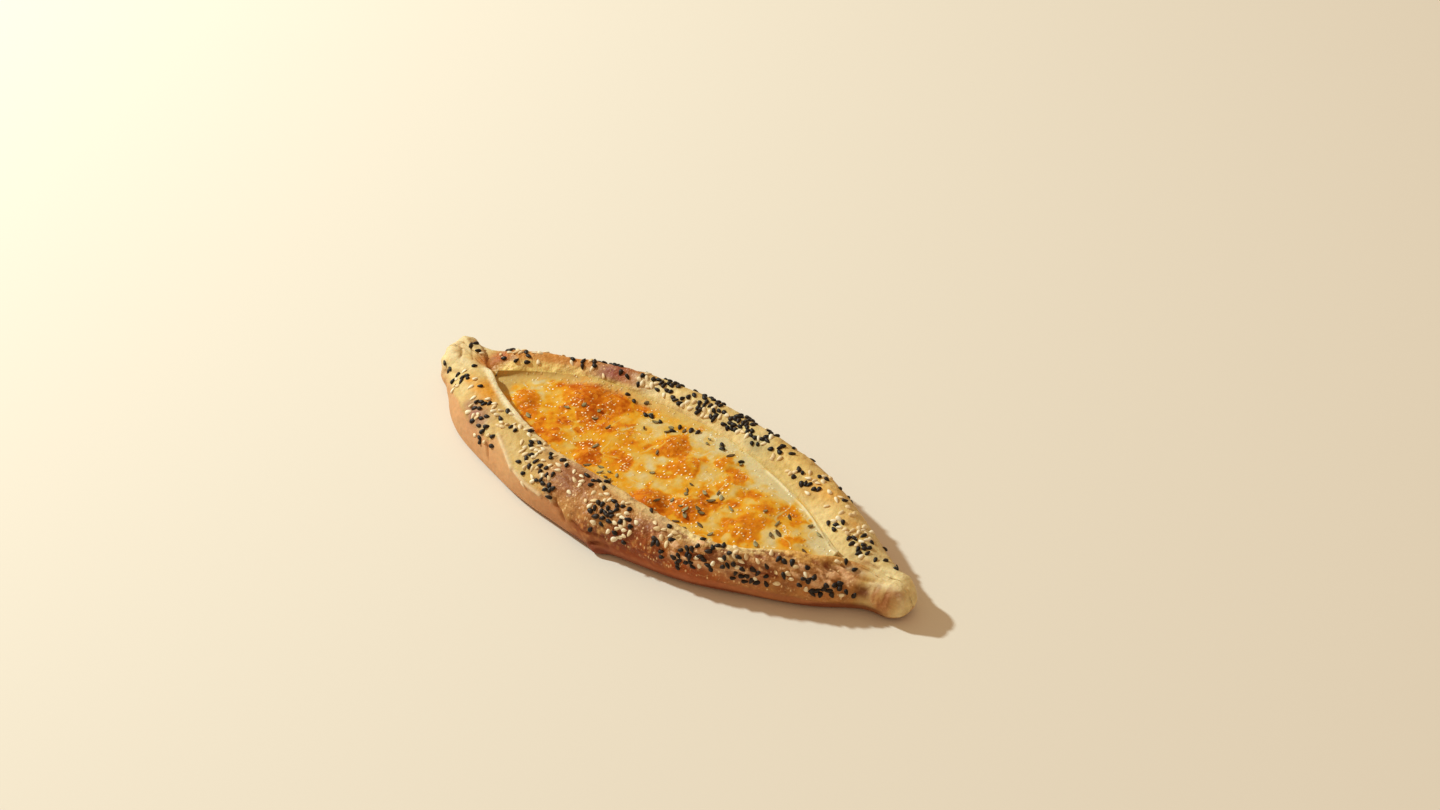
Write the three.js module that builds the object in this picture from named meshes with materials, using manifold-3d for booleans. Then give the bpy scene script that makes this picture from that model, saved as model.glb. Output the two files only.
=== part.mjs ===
// Cheese manakish: an open, boat-shaped flatbread with a rolled rim and pinched ends, filled with melted
// cheese that has browned in patches, with white and black seeds baked onto the rim.
// Millimetres, +Z up. X runs along the boat from its blunt end (-X) to its slim end (+X), Y runs across it
// from the front (-Y) to the back (+Y), and the origin is on the table under the middle of the boat.

import * as THREE from "three";
import { LoftGeometry } from "three/addons/geometries/LoftGeometry.js";
import { mergeVertices } from "three/addons/utils/BufferGeometryUtils.js";
import Module from "manifold-3d";

const { lerp, smoothstep, seededRandom, degToRad } = THREE.MathUtils;
const FRONT = -1;
const BACK = 1;

// Plan of the boat. Each side follows width * (1 - (x / taper) ^ fullness) until it meets the tip.
const BLUNT_END_X = -126;
const SLIM_END_X = 124;
const HALF_WIDTH = 45;
const TAPER = { blunt: { [FRONT]: 133, [BACK]: 131 }, slim: { [FRONT]: 118, [BACK]: 121 } };
const FULLNESS = { blunt: { [FRONT]: 2.3, [BACK]: 1.9 }, slim: { [FRONT]: 2.05, [BACK]: 2.35 } };
const BLUNT_TIP = { halfWidth: 10, round: 10, poleHeight: 9.5, crest: 18.8 };
const SLIM_TIP = { halfWidth: 8.4, round: 9, poleHeight: 7, crest: 15.5 };
const TIP_MELD = 4;
const TIP_FLAT = 0.3;
const TO_MIDDLE = [1, 2.1, 0];
const SPINE_Y = -0.2;
const BLUNT_SPINE_SHIFT = 4.6;

// The rim: a roll of dough that is widest just above the table and highest near the opening.
const CREST_HEIGHT = 21.5;
const BACK_CREST_SAG = 1.5;
const BULGE_HEIGHT = 8;
const FOOT_TUCK = 5;
const CREST_SHARE = { [FRONT]: 0.3, [BACK]: 0.52 };
const ROLL_POWER = 0.9;
const LIP_DROP = { [FRONT]: 1.4, [BACK]: 4 };
const BACK_LIP_RISE = 1.5;
const BACK_SLOPE_POWER = 1.5;
const WAVE = { width: 0.8, height: 0.6, long: 15, short: 7.1 };
const FRONT_SWELL = 1.2;
const NUB = { x: 3.5, reach: 4, out: 3, height: 7 };

// The opening, which is skewed towards the front at the slim end and a little towards the back at the
// blunt end, and the basin under it.
const OPEN_HALF = 28.5;
const OPEN_BLUNT = { reach: 95, fullness: 2.7 };
const OPEN_SLIM = { reach: 94, fullness: 2.8 };
const OPEN_SKEW = { blunt: 0.7, slim: -7 };
const OPEN_TRIM = { from: 58, to: 80, half: 2.4, shift: 1.6 };
const PINCH_HALF = 1.2;
const PINCH_MELD = 1.6;
const PINCH_DEPTH = 0.7;
const CLOSED_TIP = { lipDrop: 0.25, pinchDepth: 0.05, crestShare: 0.06 };
const FLOOR_HEIGHT = 6;
const FLOOR_SHARE = 0.84;
const BASIN_RISE = 5;

// Folds at the ends, where one side's dough laps over the other's. The dough to the left of each line, as
// seen from above on the way from start to end, is tucked under by the drop.
const FOLDS = [
  { start: new THREE.Vector2(-114, 13), end: new THREE.Vector2(-94, -2), drop: 2 },
  { start: new THREE.Vector2(113, 2), end: new THREE.Vector2(89, -7), drop: 1.8 },
];
const FOLD_EDGE = 1.6;
const FOLD_REACH = 13;

// The cheese, which climbs the wall of the blunt half, and the mounds where it has bubbled up and browned:
// [x, y, radius, height].
const CHEESE_LEVEL = 14.6;
const CHEESE_SLIM_RISE = 1.9;
const CHEESE_CLIMB = { height: 1.3, power: 8 };
const CHEESE_DOME = 1.1;
const CHEESE_LEAST_HALF = 3.2;
const CHEESE_GAP = 0.4;
const MOUNDS = [
  [-51, 12, 15, 2.8],
  [-38, 18, 9, 1.5],
  [-72, -4, 8, 1.5],
  [-45, -14, 9, 1.0],
  [-27, -17, 7, 1.4],
  [-27, 1, 10, 0.9],
  [-3, 10, 9, 1.6],
  [11, 2, 9, 1.3],
  [22, 13, 6, 1.2],
  [12, -25, 10, 3.2],
  [26, -17, 9, 1.5],
  [33, 3, 8, 1.0],
  [51, -2, 11, 1.5],
  [52, -16, 8, 1.3],
  [73, -9, 7, 1.1],
];

// Seeds and herb flakes, half sunk in what they lie on.
const WHITE_SEED = { length: 3.3, width: 2, thickness: 1.3 };
const BLACK_SEED = { length: 3, width: 1.8, thickness: 1.6 };
const HERB_FLAKE = { length: 3.2, width: 1.3, thickness: 0.8 };
const SEED_TAPER = 0.4;
const SEED_SIDES = 5;
const SEED_RINGS = 4;
const SEED_RISE = 0.12;
const RIM_SEEDS = 104;
const RIM_SEED_ANGLES = [degToRad(24), degToRad(86)];
const RIM_SEED_SPACING = 7;
const RIM_SEED_REACH = [-112, 104];
const SPILT_SEEDS = 9;
const SPILT_SEED_REACH = { x: [-35, 36], y: [17, 23] };
const HERB_FLAKES = 44;
const HERB_REACH = { x: [-78, 74], y: [-22, 22] };
const CHEESE_TOPPING_SPACING = 4.2;
const CHEESE_TOPPING_MARGIN = 3.4;
const CHEESE_TOPPING_RISE = -0.1;
const RANDOM_SEED = 41;

// Steps of the faceted surfaces.
const STATIONS = 54;
const STATION_CROWDING = 0.5;
const SECTION_STEPS = { base: 3, foot: 3, roll: 7, lip: 3, wall: 2, floor: 2 };
const CHEESE_TOP_STEPS = 14;
const CHEESE_BASE_STEPS = 4;
const PROBE = 0.2;

// Shape of the boat

const softMax = (a, b, meld) => 0.5 * (a + b + Math.hypot(a - b, meld));

// A slow unevenness along one side of the rim, from -1 to 1.
function handShaping(x, side) {
  const phase = side === FRONT ? 0.7 : 2.9;
  const fade = 1 - smoothstep(Math.abs(x), 95, 118);
  return fade * (0.55 * Math.sin(x / WAVE.long + phase) + 0.45 * Math.sin(x / WAVE.short + 2.3 * phase));
}

function spineY(x) {
  return SPINE_Y - 1.3 * (1 - smoothstep(Math.abs(x), 88, 108)) + BLUNT_SPINE_SHIFT * smoothstep(-x, 96, 118);
}

function sideHalfWidth(x, side) {
  const end = x < 0 ? "blunt" : "slim";
  const body = HALF_WIDTH * (1 - Math.pow(Math.abs(x) / TAPER[end][side], FULLNESS[end][side]));
  const tip = (x < 0 ? BLUNT_TIP : SLIM_TIP).halfWidth;
  const swell = side === FRONT ? FRONT_SWELL * smoothstep(x, -60, -20) * (1 - smoothstep(x, -4, 6)) : 0;
  return softMax(body, tip, TIP_MELD) + swell + WAVE.width * handShaping(x, side);
}

// How much of the trim has come in at x: near the slim end the front lip runs further in over the basin.
const openTrim = (x) => smoothstep(x, OPEN_TRIM.from, OPEN_TRIM.to);

// Half the opening's width before it is pinched shut, below zero past the ends of the opening.
function rawOpening(x) {
  const { reach, fullness } = x < 0 ? OPEN_BLUNT : OPEN_SLIM;
  return OPEN_HALF * (1 - Math.pow(Math.abs(x) / reach, fullness)) - OPEN_TRIM.half * openTrim(x);
}

const openingHalf = (x) => softMax(rawOpening(x), PINCH_HALF, PINCH_MELD);

// How much of the rim's open form is left at x: 1 along the opening, 0 where a tip has closed into one lump.
const openness = (x) => smoothstep(rawOpening(x), -11, 1);

// How far the rim drops from its crest to its lip. The back rim slopes further down than the front one, but
// less so towards the slim end.
function lipDrop(x, side) {
  const rise = side === BACK ? BACK_LIP_RISE * smoothstep(x, 30, 60) : 0;
  return lerp(CLOSED_TIP.lipDrop, LIP_DROP[side] - rise, openness(x));
}

function openingY(x) {
  const skew = OPEN_SKEW.blunt * smoothstep(-x, 20, 50) + OPEN_SKEW.slim * smoothstep(x, -10, 62);
  const middle = 0.5 + skew - 1.5 * smoothstep(-x, 60, 93) + OPEN_TRIM.shift * openTrim(x);
  return lerp(spineY(x), middle, smoothstep(rawOpening(x), -4, 6));
}

function crestHeight(x, side) {
  const ends = x < 0 ? smoothstep(-x, 85, 112) : smoothstep(x, 70, 108);
  const sag = side === BACK ? BACK_CREST_SAG * smoothstep(x, 30, 70) * (1 - smoothstep(x, 85, 100)) : 0;
  const tip = (x < 0 ? BLUNT_TIP : SLIM_TIP).crest;
  return lerp(CREST_HEIGHT, tip, ends) - sag + WAVE.height * handShaping(1.13 * x + 20, side);
}

function floorHeight(x) {
  const lip = Math.min(crestHeight(x, FRONT), crestHeight(x, BACK)) - lipDrop(x, FRONT);
  const pinched = lip - lerp(CLOSED_TIP.pinchDepth, PINCH_DEPTH, openness(x));
  return lerp(pinched, FLOOR_HEIGHT, smoothstep(rawOpening(x), 0, BASIN_RISE));
}

// The measures of one side's half-section at x, with distances counted outwards from the spine.
function sideMeasures(x, side) {
  const width = sideHalfWidth(x, side);
  const middle = side * (openingY(x) - spineY(x));
  const opening = openingHalf(x);
  const lip = middle + opening;
  const crestAt = lerp(lip, width, lerp(CLOSED_TIP.crestShare, CREST_SHARE[side], openness(x)));
  const crest = crestHeight(x, side);
  const lipHeight = crest - lipDrop(x, side);
  return { width, middle, opening, lip, lipHeight, crestAt, crest, floor: floorHeight(x) };
}

// A point of the outer roll as [distance, height]: angle 0 is the bulge, a quarter turn is the crest.
function rollPoint({ width, crestAt, crest }, angle) {
  const across = Math.pow(Math.max(Math.cos(angle), 0), ROLL_POWER);
  const up = Math.pow(Math.sin(angle), ROLL_POWER);
  return [lerp(crestAt, width, across), lerp(BULGE_HEIGHT, crest, up)];
}

// A point from the crest to the lip as [distance, height]: rounded over at the front, a slope at the back.
function lipPoint({ lip, lipHeight, crestAt, crest }, side, share) {
  if (side === BACK) {
    return [lerp(crestAt, lip, share), lerp(crest, lipHeight, Math.pow(share, BACK_SLOPE_POWER))];
  }
  const turn = (Math.PI / 2) * share;
  return [lerp(crestAt, lip, Math.sin(turn)), lerp(lipHeight, crest, Math.cos(turn))];
}

// One side's half-section as [distance, height] pairs, from mid-base round to the middle of the basin.
function halfSection(x, side) {
  const m = sideMeasures(x, side);
  const quarter = Math.PI / 2;
  const runs = [
    [SECTION_STEPS.base, (t) => [(m.width - FOOT_TUCK) * t, 0]],
    [
      SECTION_STEPS.foot,
      (t) => [m.width - FOOT_TUCK * (1 - Math.sin(quarter * t)), BULGE_HEIGHT * (1 - Math.cos(quarter * t))],
    ],
    [SECTION_STEPS.roll, (t) => rollPoint(m, quarter * t)],
    [SECTION_STEPS.lip, (t) => lipPoint(m, side, t)],
    [
      SECTION_STEPS.wall,
      (t) => [m.middle + m.opening * lerp(1, FLOOR_SHARE, t), lerp(m.lipHeight, m.floor, t)],
    ],
    [SECTION_STEPS.floor, (t) => [m.middle + m.opening * FLOOR_SHARE * (1 - t), m.floor]],
  ];
  const points = runs.flatMap(([steps, at]) => Array.from({ length: steps }, (_, i) => at(i / steps)));
  return [...points, [m.middle, m.floor]];
}

// How far the dough is tucked under at a place near a folded end.
function foldDrop(x, y) {
  let drop = 0;
  for (const fold of FOLDS) {
    const along = fold.end.clone().sub(fold.start);
    const length = along.length();
    along.normalize();
    const from = new THREE.Vector2(x, y).sub(fold.start);
    const travel = from.dot(along);
    const left = along.cross(from);
    const window = smoothstep(travel, -4, 4) * (1 - smoothstep(travel, length - 3, length + 3));
    const step = smoothstep(left, -FOLD_EDGE, FOLD_EDGE) * (1 - smoothstep(left, FOLD_EDGE, FOLD_REACH));
    drop += fold.drop * window * step;
  }
  return drop;
}

// Moves a point of the plain section to where the folds, the nub and the rounded tips put it.
function dressed(x, y, z) {
  const nubRise = 1 - smoothstep(z, 1, NUB.height);
  const isFoot = y < spineY(x) - sideHalfWidth(x, FRONT) + 2 * FOOT_TUCK;
  const nub = isFoot ? NUB.out * nubRise * Math.exp(-(((x - NUB.x) / NUB.reach) ** 2)) : 0;
  const top = smoothstep(z, 9, 14);
  const point = new THREE.Vector3(x, y - nub, z - foldDrop(x, y) * top);
  const tip = x < 0 ? BLUNT_TIP : SLIM_TIP;
  const inset = x < 0 ? x - BLUNT_END_X : SLIM_END_X - x;
  if (inset < tip.round) {
    const shrink = Math.sqrt(1 - (1 - inset / tip.round) ** 2);
    point.y = lerp(spineY(x), point.y, shrink);
    point.z = lerp(tip.poleHeight, point.z, shrink);
  }
  return point;
}

function crustSection(x) {
  const back = halfSection(x, BACK).map(([out, z]) => dressed(x, spineY(x) + out, z));
  const front = halfSection(x, FRONT).map(([out, z]) => dressed(x, spineY(x) - out, z));
  return [...back, ...front.slice(1, -1).reverse()];
}

// Places of the sections along the boat, closer together towards its ends.
const stations = Array.from({ length: STATIONS + 1 }, (_, i) => {
  const even = i / STATIONS;
  const crowded = 0.5 - 0.5 * Math.cos(Math.PI * even);
  return lerp(BLUNT_END_X + TIP_FLAT, SLIM_END_X - TIP_FLAT, lerp(even, crowded, STATION_CROWDING));
});

// Shape of the cheese

function cheeseTop(x, y) {
  const across = (y - openingY(x)) / openingHalf(x);
  const dome = CHEESE_DOME * (1 - Math.min(across * across, 1)) * smoothstep(rawOpening(x), 0, 20);
  const mounds = MOUNDS.reduce((sum, [mx, my, radius, height]) => {
    const share = ((x - mx) ** 2 + (y - my) ** 2) / (radius * radius);
    return sum + (share < 1 ? height * (1 - share) ** 2 : 0);
  }, 0);
  const nearWall = Math.min(Math.abs(across), 1) ** CHEESE_CLIMB.power;
  const climb = CHEESE_CLIMB.height * nearWall * smoothstep(-x, -30, 30);
  const level = CHEESE_LEVEL + CHEESE_SLIM_RISE * smoothstep(x, -60, 60);
  return level + dome + climb + mounds;
}

// Where the cheese meets one side's basin wall at x, as [y at its top edge, y at its base].
function cheeseEdge(x, side) {
  const m = sideMeasures(x, side);
  const level = cheeseTop(x, spineY(x) + side * m.lip);
  const depth = (m.lipHeight - level) / (m.lipHeight - m.floor);
  const top = m.middle + m.opening * lerp(1, FLOOR_SHARE, depth) - CHEESE_GAP;
  const base = m.middle + m.opening * FLOOR_SHARE - CHEESE_GAP;
  return [spineY(x) + side * top, spineY(x) + side * base];
}

function cheeseSection(x) {
  const [frontTop, frontBase] = cheeseEdge(x, FRONT);
  const [backTop, backBase] = cheeseEdge(x, BACK);
  const floor = floorHeight(x) + CHEESE_GAP;
  const base = Array.from({ length: CHEESE_BASE_STEPS + 1 }, (_, i) => {
    return new THREE.Vector3(x, lerp(frontBase, backBase, i / CHEESE_BASE_STEPS), floor);
  });
  const top = Array.from({ length: CHEESE_TOP_STEPS + 1 }, (_, i) => {
    const y = lerp(backTop, frontTop, i / CHEESE_TOP_STEPS);
    return new THREE.Vector3(x, y, cheeseTop(x, y));
  });
  return [...base, ...top];
}

// Joining with manifold-3d

const wasm = await Module();
wasm.setup();

function solidOf(geometry) {
  const bare = new THREE.BufferGeometry();
  bare.setAttribute("position", geometry.attributes.position);
  bare.setIndex(geometry.index);
  const merged = mergeVertices(bare);
  const vertProperties = merged.attributes.position.array;
  return new wasm.Manifold(
    new wasm.Mesh({ numProp: 3, vertProperties, triVerts: new Uint32Array(merged.index.array) }),
  );
}

function geometryOf(solid) {
  const mesh = solid.getMesh();
  const geometry = new THREE.BufferGeometry();
  geometry.setAttribute("position", new THREE.BufferAttribute(mesh.vertProperties, 3));
  geometry.setIndex(new THREE.BufferAttribute(mesh.triVerts, 1));
  geometry.computeVertexNormals();
  return geometry.translate(...TO_MIDDLE);
}

// Seeds and flakes

const randomIn = ([low, high]) => lerp(low, high, seededRandom());

// A seed: an egg-shaped grain that lies along X and narrows towards +X.
function seedGeometry({ length, width, thickness }) {
  const grain = new THREE.SphereGeometry(1, SEED_SIDES, SEED_RINGS).rotateZ(Math.PI / 2);
  const position = grain.attributes.position;
  for (let i = 0; i < position.count; i += 1) {
    const narrowing = 1 - SEED_TAPER * position.getX(i);
    position.setY(i, position.getY(i) * narrowing);
    position.setZ(i, position.getZ(i) * narrowing);
  }
  return grain.scale(length / 2, width / 2, thickness / 2);
}

function flakeGeometry({ length, width, thickness }) {
  return new THREE.OctahedronGeometry(1).scale(length / 2, width / 2, thickness / 2);
}

// Lays a geometry flat on a surface, turned at random about the surface's normal.
function laidOn(geometry, point, normal, rise) {
  const up = new THREE.Vector3(0, 0, 1);
  const turn = new THREE.Quaternion().setFromAxisAngle(up, 2 * Math.PI * seededRandom());
  const upright = new THREE.Quaternion().setFromUnitVectors(up, normal);
  const place = point.clone().addScaledVector(normal, rise);
  const matrix = new THREE.Matrix4().compose(place, upright.multiply(turn), new THREE.Vector3(1, 1, 1));
  return solidOf(geometry.clone().applyMatrix4(matrix));
}

// The surface normal at a place given by two parameters, from nearby points of that surface.
function normalAt(surface, a, b, stepA, stepB) {
  const alongA = surface(a + stepA, b).sub(surface(a - stepA, b));
  const alongB = surface(a, b + stepB).sub(surface(a, b - stepB));
  return alongA.cross(alongB).normalize();
}

function rimSurface(side) {
  return (x, angle) => {
    const [out, z] = rollPoint(sideMeasures(x, side), angle);
    return dressed(x, spineY(x) + side * out, z);
  };
}

const cheeseSurface = (x, y) => new THREE.Vector3(x, y, cheeseTop(x, y));

// Draws places until enough of them lie at least a spacing apart.
function spacedPlaces(count, spacing, draw) {
  const places = [];
  for (let tries = 0; places.length < count && tries < 60 * count; tries += 1) {
    const place = draw();
    if (place && places.every((other) => other.point.distanceTo(place.point) > spacing)) {
      places.push(place);
    }
  }
  return places;
}

function rimSeeds() {
  const grains = [seedGeometry(WHITE_SEED), seedGeometry(BLACK_SEED)];
  const places = spacedPlaces(RIM_SEEDS, RIM_SEED_SPACING, () => {
    const side = seededRandom() < 0.5 ? FRONT : BACK;
    const surface = rimSurface(side);
    const x = randomIn(RIM_SEED_REACH);
    const angle = randomIn(RIM_SEED_ANGLES);
    const normal = normalAt(surface, x, angle, PROBE, degToRad(1)).multiplyScalar(-side);
    return { point: surface(x, angle), normal };
  });
  return places.map(({ point, normal }, i) => laidOn(grains[i % 2], point, normal, SEED_RISE));
}

function cheeseToppings() {
  const flake = flakeGeometry(HERB_FLAKE);
  const seed = seedGeometry(BLACK_SEED);
  const reachOf = (index) => (index < SPILT_SEEDS ? SPILT_SEED_REACH : HERB_REACH);
  let drawn = 0;
  const places = spacedPlaces(SPILT_SEEDS + HERB_FLAKES, CHEESE_TOPPING_SPACING, () => {
    const reach = reachOf(drawn);
    const x = randomIn(reach.x);
    const y = openingY(x) + randomIn(reach.y);
    if (Math.abs(y - openingY(x)) > FLOOR_SHARE * openingHalf(x) - CHEESE_TOPPING_MARGIN) {
      return null;
    }
    drawn += 1;
    return { point: cheeseSurface(x, y), normal: normalAt(cheeseSurface, x, y, PROBE, PROBE) };
  });
  return places.map(({ point, normal }, i) => {
    return laidOn(i < SPILT_SEEDS ? seed : flake, point, normal, CHEESE_TOPPING_RISE);
  });
}

// The two pieces

function crustMesh() {
  const dough = new LoftGeometry(stations.map(crustSection), { capStart: true, capEnd: true });
  const baked = wasm.Manifold.union([solidOf(dough), ...rimSeeds()]);
  const material = new THREE.MeshStandardMaterial({ color: 0xd8a468, roughness: 0.65, metalness: 0 });
  const mesh = new THREE.Mesh(geometryOf(baked), material);
  mesh.name = "crust";
  return mesh;
}

function cheeseMesh() {
  const filled = stations.filter((x) => rawOpening(x) > CHEESE_LEAST_HALF);
  const filling = new LoftGeometry(filled.map(cheeseSection), { capStart: true, capEnd: true });
  const topped = wasm.Manifold.union([solidOf(filling), ...cheeseToppings()]);
  const material = new THREE.MeshStandardMaterial({ color: 0xeaa63c, roughness: 0.35, metalness: 0 });
  const mesh = new THREE.Mesh(geometryOf(topped), material);
  mesh.name = "cheese";
  return mesh;
}

seededRandom(RANDOM_SEED);
const manakish = new THREE.Group();
manakish.name = "cheese_manakish";
manakish.add(crustMesh(), cheeseMesh());

export default manakish;
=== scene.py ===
import math

import bpy
import numpy as np
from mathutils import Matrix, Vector


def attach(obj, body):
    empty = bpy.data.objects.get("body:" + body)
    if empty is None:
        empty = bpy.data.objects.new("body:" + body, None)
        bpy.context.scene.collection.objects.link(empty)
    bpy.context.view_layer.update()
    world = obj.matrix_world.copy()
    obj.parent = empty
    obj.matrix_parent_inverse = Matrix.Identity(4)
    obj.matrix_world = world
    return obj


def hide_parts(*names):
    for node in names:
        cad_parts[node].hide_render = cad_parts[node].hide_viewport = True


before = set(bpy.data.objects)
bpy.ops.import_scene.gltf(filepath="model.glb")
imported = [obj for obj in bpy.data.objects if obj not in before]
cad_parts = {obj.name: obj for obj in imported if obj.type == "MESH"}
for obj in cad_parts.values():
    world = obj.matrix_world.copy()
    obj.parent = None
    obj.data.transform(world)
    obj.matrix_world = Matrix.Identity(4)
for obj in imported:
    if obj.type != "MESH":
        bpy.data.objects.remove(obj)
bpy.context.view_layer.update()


# The dough boat: one sheet of soft wheat dough, its long edges rolled in over the filling and its ends
# pinched shut and folded. The top is brushed before baking and browns unevenly, the sides below the
# brushing stay a matt peach, and the base is flat. Sizes are millimetres, on the boat's own axes.
MILLIMETRE = 0.001
FRONT = -1
BACK = 1
BLUNT_END_X = -126
SLIM_END_X = 124
HALF_WIDTH = 45
TAPER = {FRONT: (133, 118), BACK: (131, 121)}
FULLNESS = {FRONT: (2.3, 2.05), BACK: (1.9, 2.35)}
TIP_HALF_WIDTH = (10, 8.4)
TIP_ROUND = (10, 9)
TIP_POLE_HEIGHT = (9.5, 7)
TIP_CREST = (18.8, 15.5)
TIP_MELD = 4
TIP_POLE_RUN = 0.2
TO_MIDDLE = np.array([1, 2.1, 0])
SPINE_Y = -0.2
SPINE_BOW = 1.3
BLUNT_SPINE_SHIFT = 4.6
CREST_HEIGHT = 21.5
BACK_CREST_SAG = 1.5
BULGE_HEIGHT = 8
FOOT_TUCK = 5
CREST_SHARE = {FRONT: 0.3, BACK: 0.52}
ROLL_POWER = 0.9
LIP_DROP = {FRONT: 1.4, BACK: 4}
BACK_LIP_RISE = 1.5
BACK_SLOPE_POWER = 1.5
WAVE_WIDTH = 0.8
WAVE_HEIGHT = 0.6
SHAPING_PHASE = {FRONT: 0.7, BACK: 2.9}
FRONT_SWELL = 1.2
NUB_X = 3.5
NUB_REACH = 4
NUB_OUT = 3
NUB_HEIGHT = 7
OPEN_HALF = 28.5
OPEN_REACH = (95, 94)
OPEN_FULLNESS = (2.7, 2.8)
OPEN_Y = 0.5
OPEN_SKEW = (0.7, -7)
OPEN_BLUNT_SHIFT = -1.5
OPEN_TRIM_HALF = 2.4
OPEN_TRIM_SHIFT = 1.6
PINCH_HALF = 1.2
PINCH_MELD = 1.6
PINCH_DEPTH = 0.7
CLOSED_LIP_DROP = 0.25
CLOSED_PINCH_DEPTH = 0.05
CLOSED_CREST_SHARE = 0.06
FLOOR_HEIGHT = 6
FLOOR_SHARE = 0.84
BASIN_RISE = 5
FOLDS = [((-114, 13), (-94, -2), 2), ((113, 2), (89, -7), 1.8)]
FOLD_EDGE = 1.6
FOLD_REACH = 13
STATIONS = 360
TIP_STATIONS = 28
PRESSED_TIP_X = 104
PRESSED_TIP_STATIONS = 36
RUN_STEPS = {"base": 4, "foot": 14, "roll": 48, "lip": 14, "wall": 9, "floor": 3}


def ease(value, low, high):
    """A smooth step from 0 at low to 1 at high."""
    share = np.clip((value - low) / (high - low), 0.0, 1.0)
    return share * share * (3.0 - 2.0 * share)


def mix(a, b, share):
    return a + (b - a) * share


def soft_max(a, b, meld):
    return 0.5 * (a + b + np.hypot(a - b, meld))


def by_end(x, pair):
    """The value for the blunt end or the slim end, whichever x is nearer."""
    return np.where(x < 0, pair[0], pair[1])


def hand_shaping(x, side):
    """A slow unevenness along one side of the rim, from -1 to 1."""
    phase = SHAPING_PHASE[side]
    fade = 1 - ease(np.abs(x), 95, 118)
    return fade * (0.55 * np.sin(x / 15 + phase) + 0.45 * np.sin(x / 7.1 + 2.3 * phase))


def spine_y(x):
    return SPINE_Y - SPINE_BOW * (1 - ease(np.abs(x), 88, 108)) + BLUNT_SPINE_SHIFT * ease(-x, 96, 118)


def side_half_width(x, side):
    body = HALF_WIDTH * (1 - (np.abs(x) / by_end(x, TAPER[side])) ** by_end(x, FULLNESS[side]))
    swell = FRONT_SWELL * ease(x, -60, -20) * (1 - ease(x, -4, 6)) * (side == FRONT)
    return soft_max(body, by_end(x, TIP_HALF_WIDTH), TIP_MELD) + swell + WAVE_WIDTH * hand_shaping(x, side)


def open_trim(x):
    """How much of the trim has come in: near the slim end the front lip runs further in over the basin."""
    return ease(x, 58, 80)


def raw_opening(x):
    """Half the opening's width before it is pinched shut, below zero past the ends of the opening."""
    untrimmed = OPEN_HALF * (1 - (np.abs(x) / by_end(x, OPEN_REACH)) ** by_end(x, OPEN_FULLNESS))
    return untrimmed - OPEN_TRIM_HALF * open_trim(x)


def opening_half(x):
    return soft_max(raw_opening(x), PINCH_HALF, PINCH_MELD)


def openness(x):
    """1 along the opening, 0 where a tip has closed into one lump."""
    return ease(raw_opening(x), -11, 1)


def lip_drop(x, side):
    """How far the rim drops from its crest to its lip: further at the back, but less so by the slim end."""
    rise = BACK_LIP_RISE * ease(x, 30, 60) * (side == BACK)
    return mix(CLOSED_LIP_DROP, LIP_DROP[side] - rise, openness(x))


def opening_y(x):
    skew = OPEN_SKEW[0] * ease(-x, 20, 50) + OPEN_SKEW[1] * ease(x, -10, 62)
    middle = OPEN_Y + skew + OPEN_BLUNT_SHIFT * ease(-x, 60, 93) + OPEN_TRIM_SHIFT * open_trim(x)
    return mix(spine_y(x), middle, ease(raw_opening(x), -4, 6))


def crest_height(x, side):
    ends = np.where(x < 0, ease(-x, 85, 112), ease(x, 70, 108))
    sag = BACK_CREST_SAG * ease(x, 30, 70) * (1 - ease(x, 85, 100)) * (side == BACK)
    wave = WAVE_HEIGHT * hand_shaping(1.13 * x + 20, side)
    return mix(CREST_HEIGHT, by_end(x, TIP_CREST), ends) - sag + wave


def floor_height(x):
    lip = np.minimum(crest_height(x, FRONT), crest_height(x, BACK)) - lip_drop(x, FRONT)
    pinched = lip - mix(CLOSED_PINCH_DEPTH, PINCH_DEPTH, openness(x))
    return mix(pinched, FLOOR_HEIGHT, ease(raw_opening(x), 0, BASIN_RISE))


def half_section(x, side):
    """One side's half-section at each x, from the middle of the base to the middle of the basin: distances
    from the spine, heights, and a count of the runs passed (roll is 0 to 1, lip 1 to 2, wall 2 to 3)."""
    x = x[:, None]
    width = side_half_width(x, side)
    middle = side * (opening_y(x) - spine_y(x))
    opening = opening_half(x)
    lip = middle + opening
    crest = crest_height(x, side)
    lip_height = crest - lip_drop(x, side)
    crest_at = mix(lip, width, mix(CLOSED_CREST_SHARE, CREST_SHARE[side], openness(x)))
    floor = floor_height(x)
    share = {run: np.arange(steps) / steps for run, steps in RUN_STEPS.items()}
    turn = {run: 0.5 * math.pi * t for run, t in share.items()}
    if side == BACK:
        slope = share["lip"] ** BACK_SLOPE_POWER
        over_lip = (mix(crest_at, lip, share["lip"]), mix(crest, lip_height, slope))
    else:
        over_lip = (mix(crest_at, lip, np.sin(turn["lip"])), mix(lip_height, crest, np.cos(turn["lip"])))
    runs = [
        ((width - FOOT_TUCK) * share["base"], 0 * x * share["base"]),
        (width - FOOT_TUCK * (1 - np.sin(turn["foot"])), BULGE_HEIGHT * (1 - np.cos(turn["foot"])) + 0 * x),
        (
            mix(crest_at, width, np.cos(turn["roll"]) ** ROLL_POWER),
            mix(BULGE_HEIGHT, crest, np.sin(turn["roll"]) ** ROLL_POWER),
        ),
        over_lip,
        (middle + opening * mix(1, FLOOR_SHARE, share["wall"]), mix(lip_height, floor, share["wall"])),
        (middle + opening * FLOOR_SHARE * (1 - share["floor"]), floor + 0 * share["floor"]),
        (middle, floor),
    ]
    passed = [place - 2 + t for place, t in enumerate(share.values())] + [np.array([4.0])]
    out = np.hstack([run[0] for run in runs])
    up = np.hstack([run[1] for run in runs])
    return out, up, np.concatenate(passed)


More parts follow.
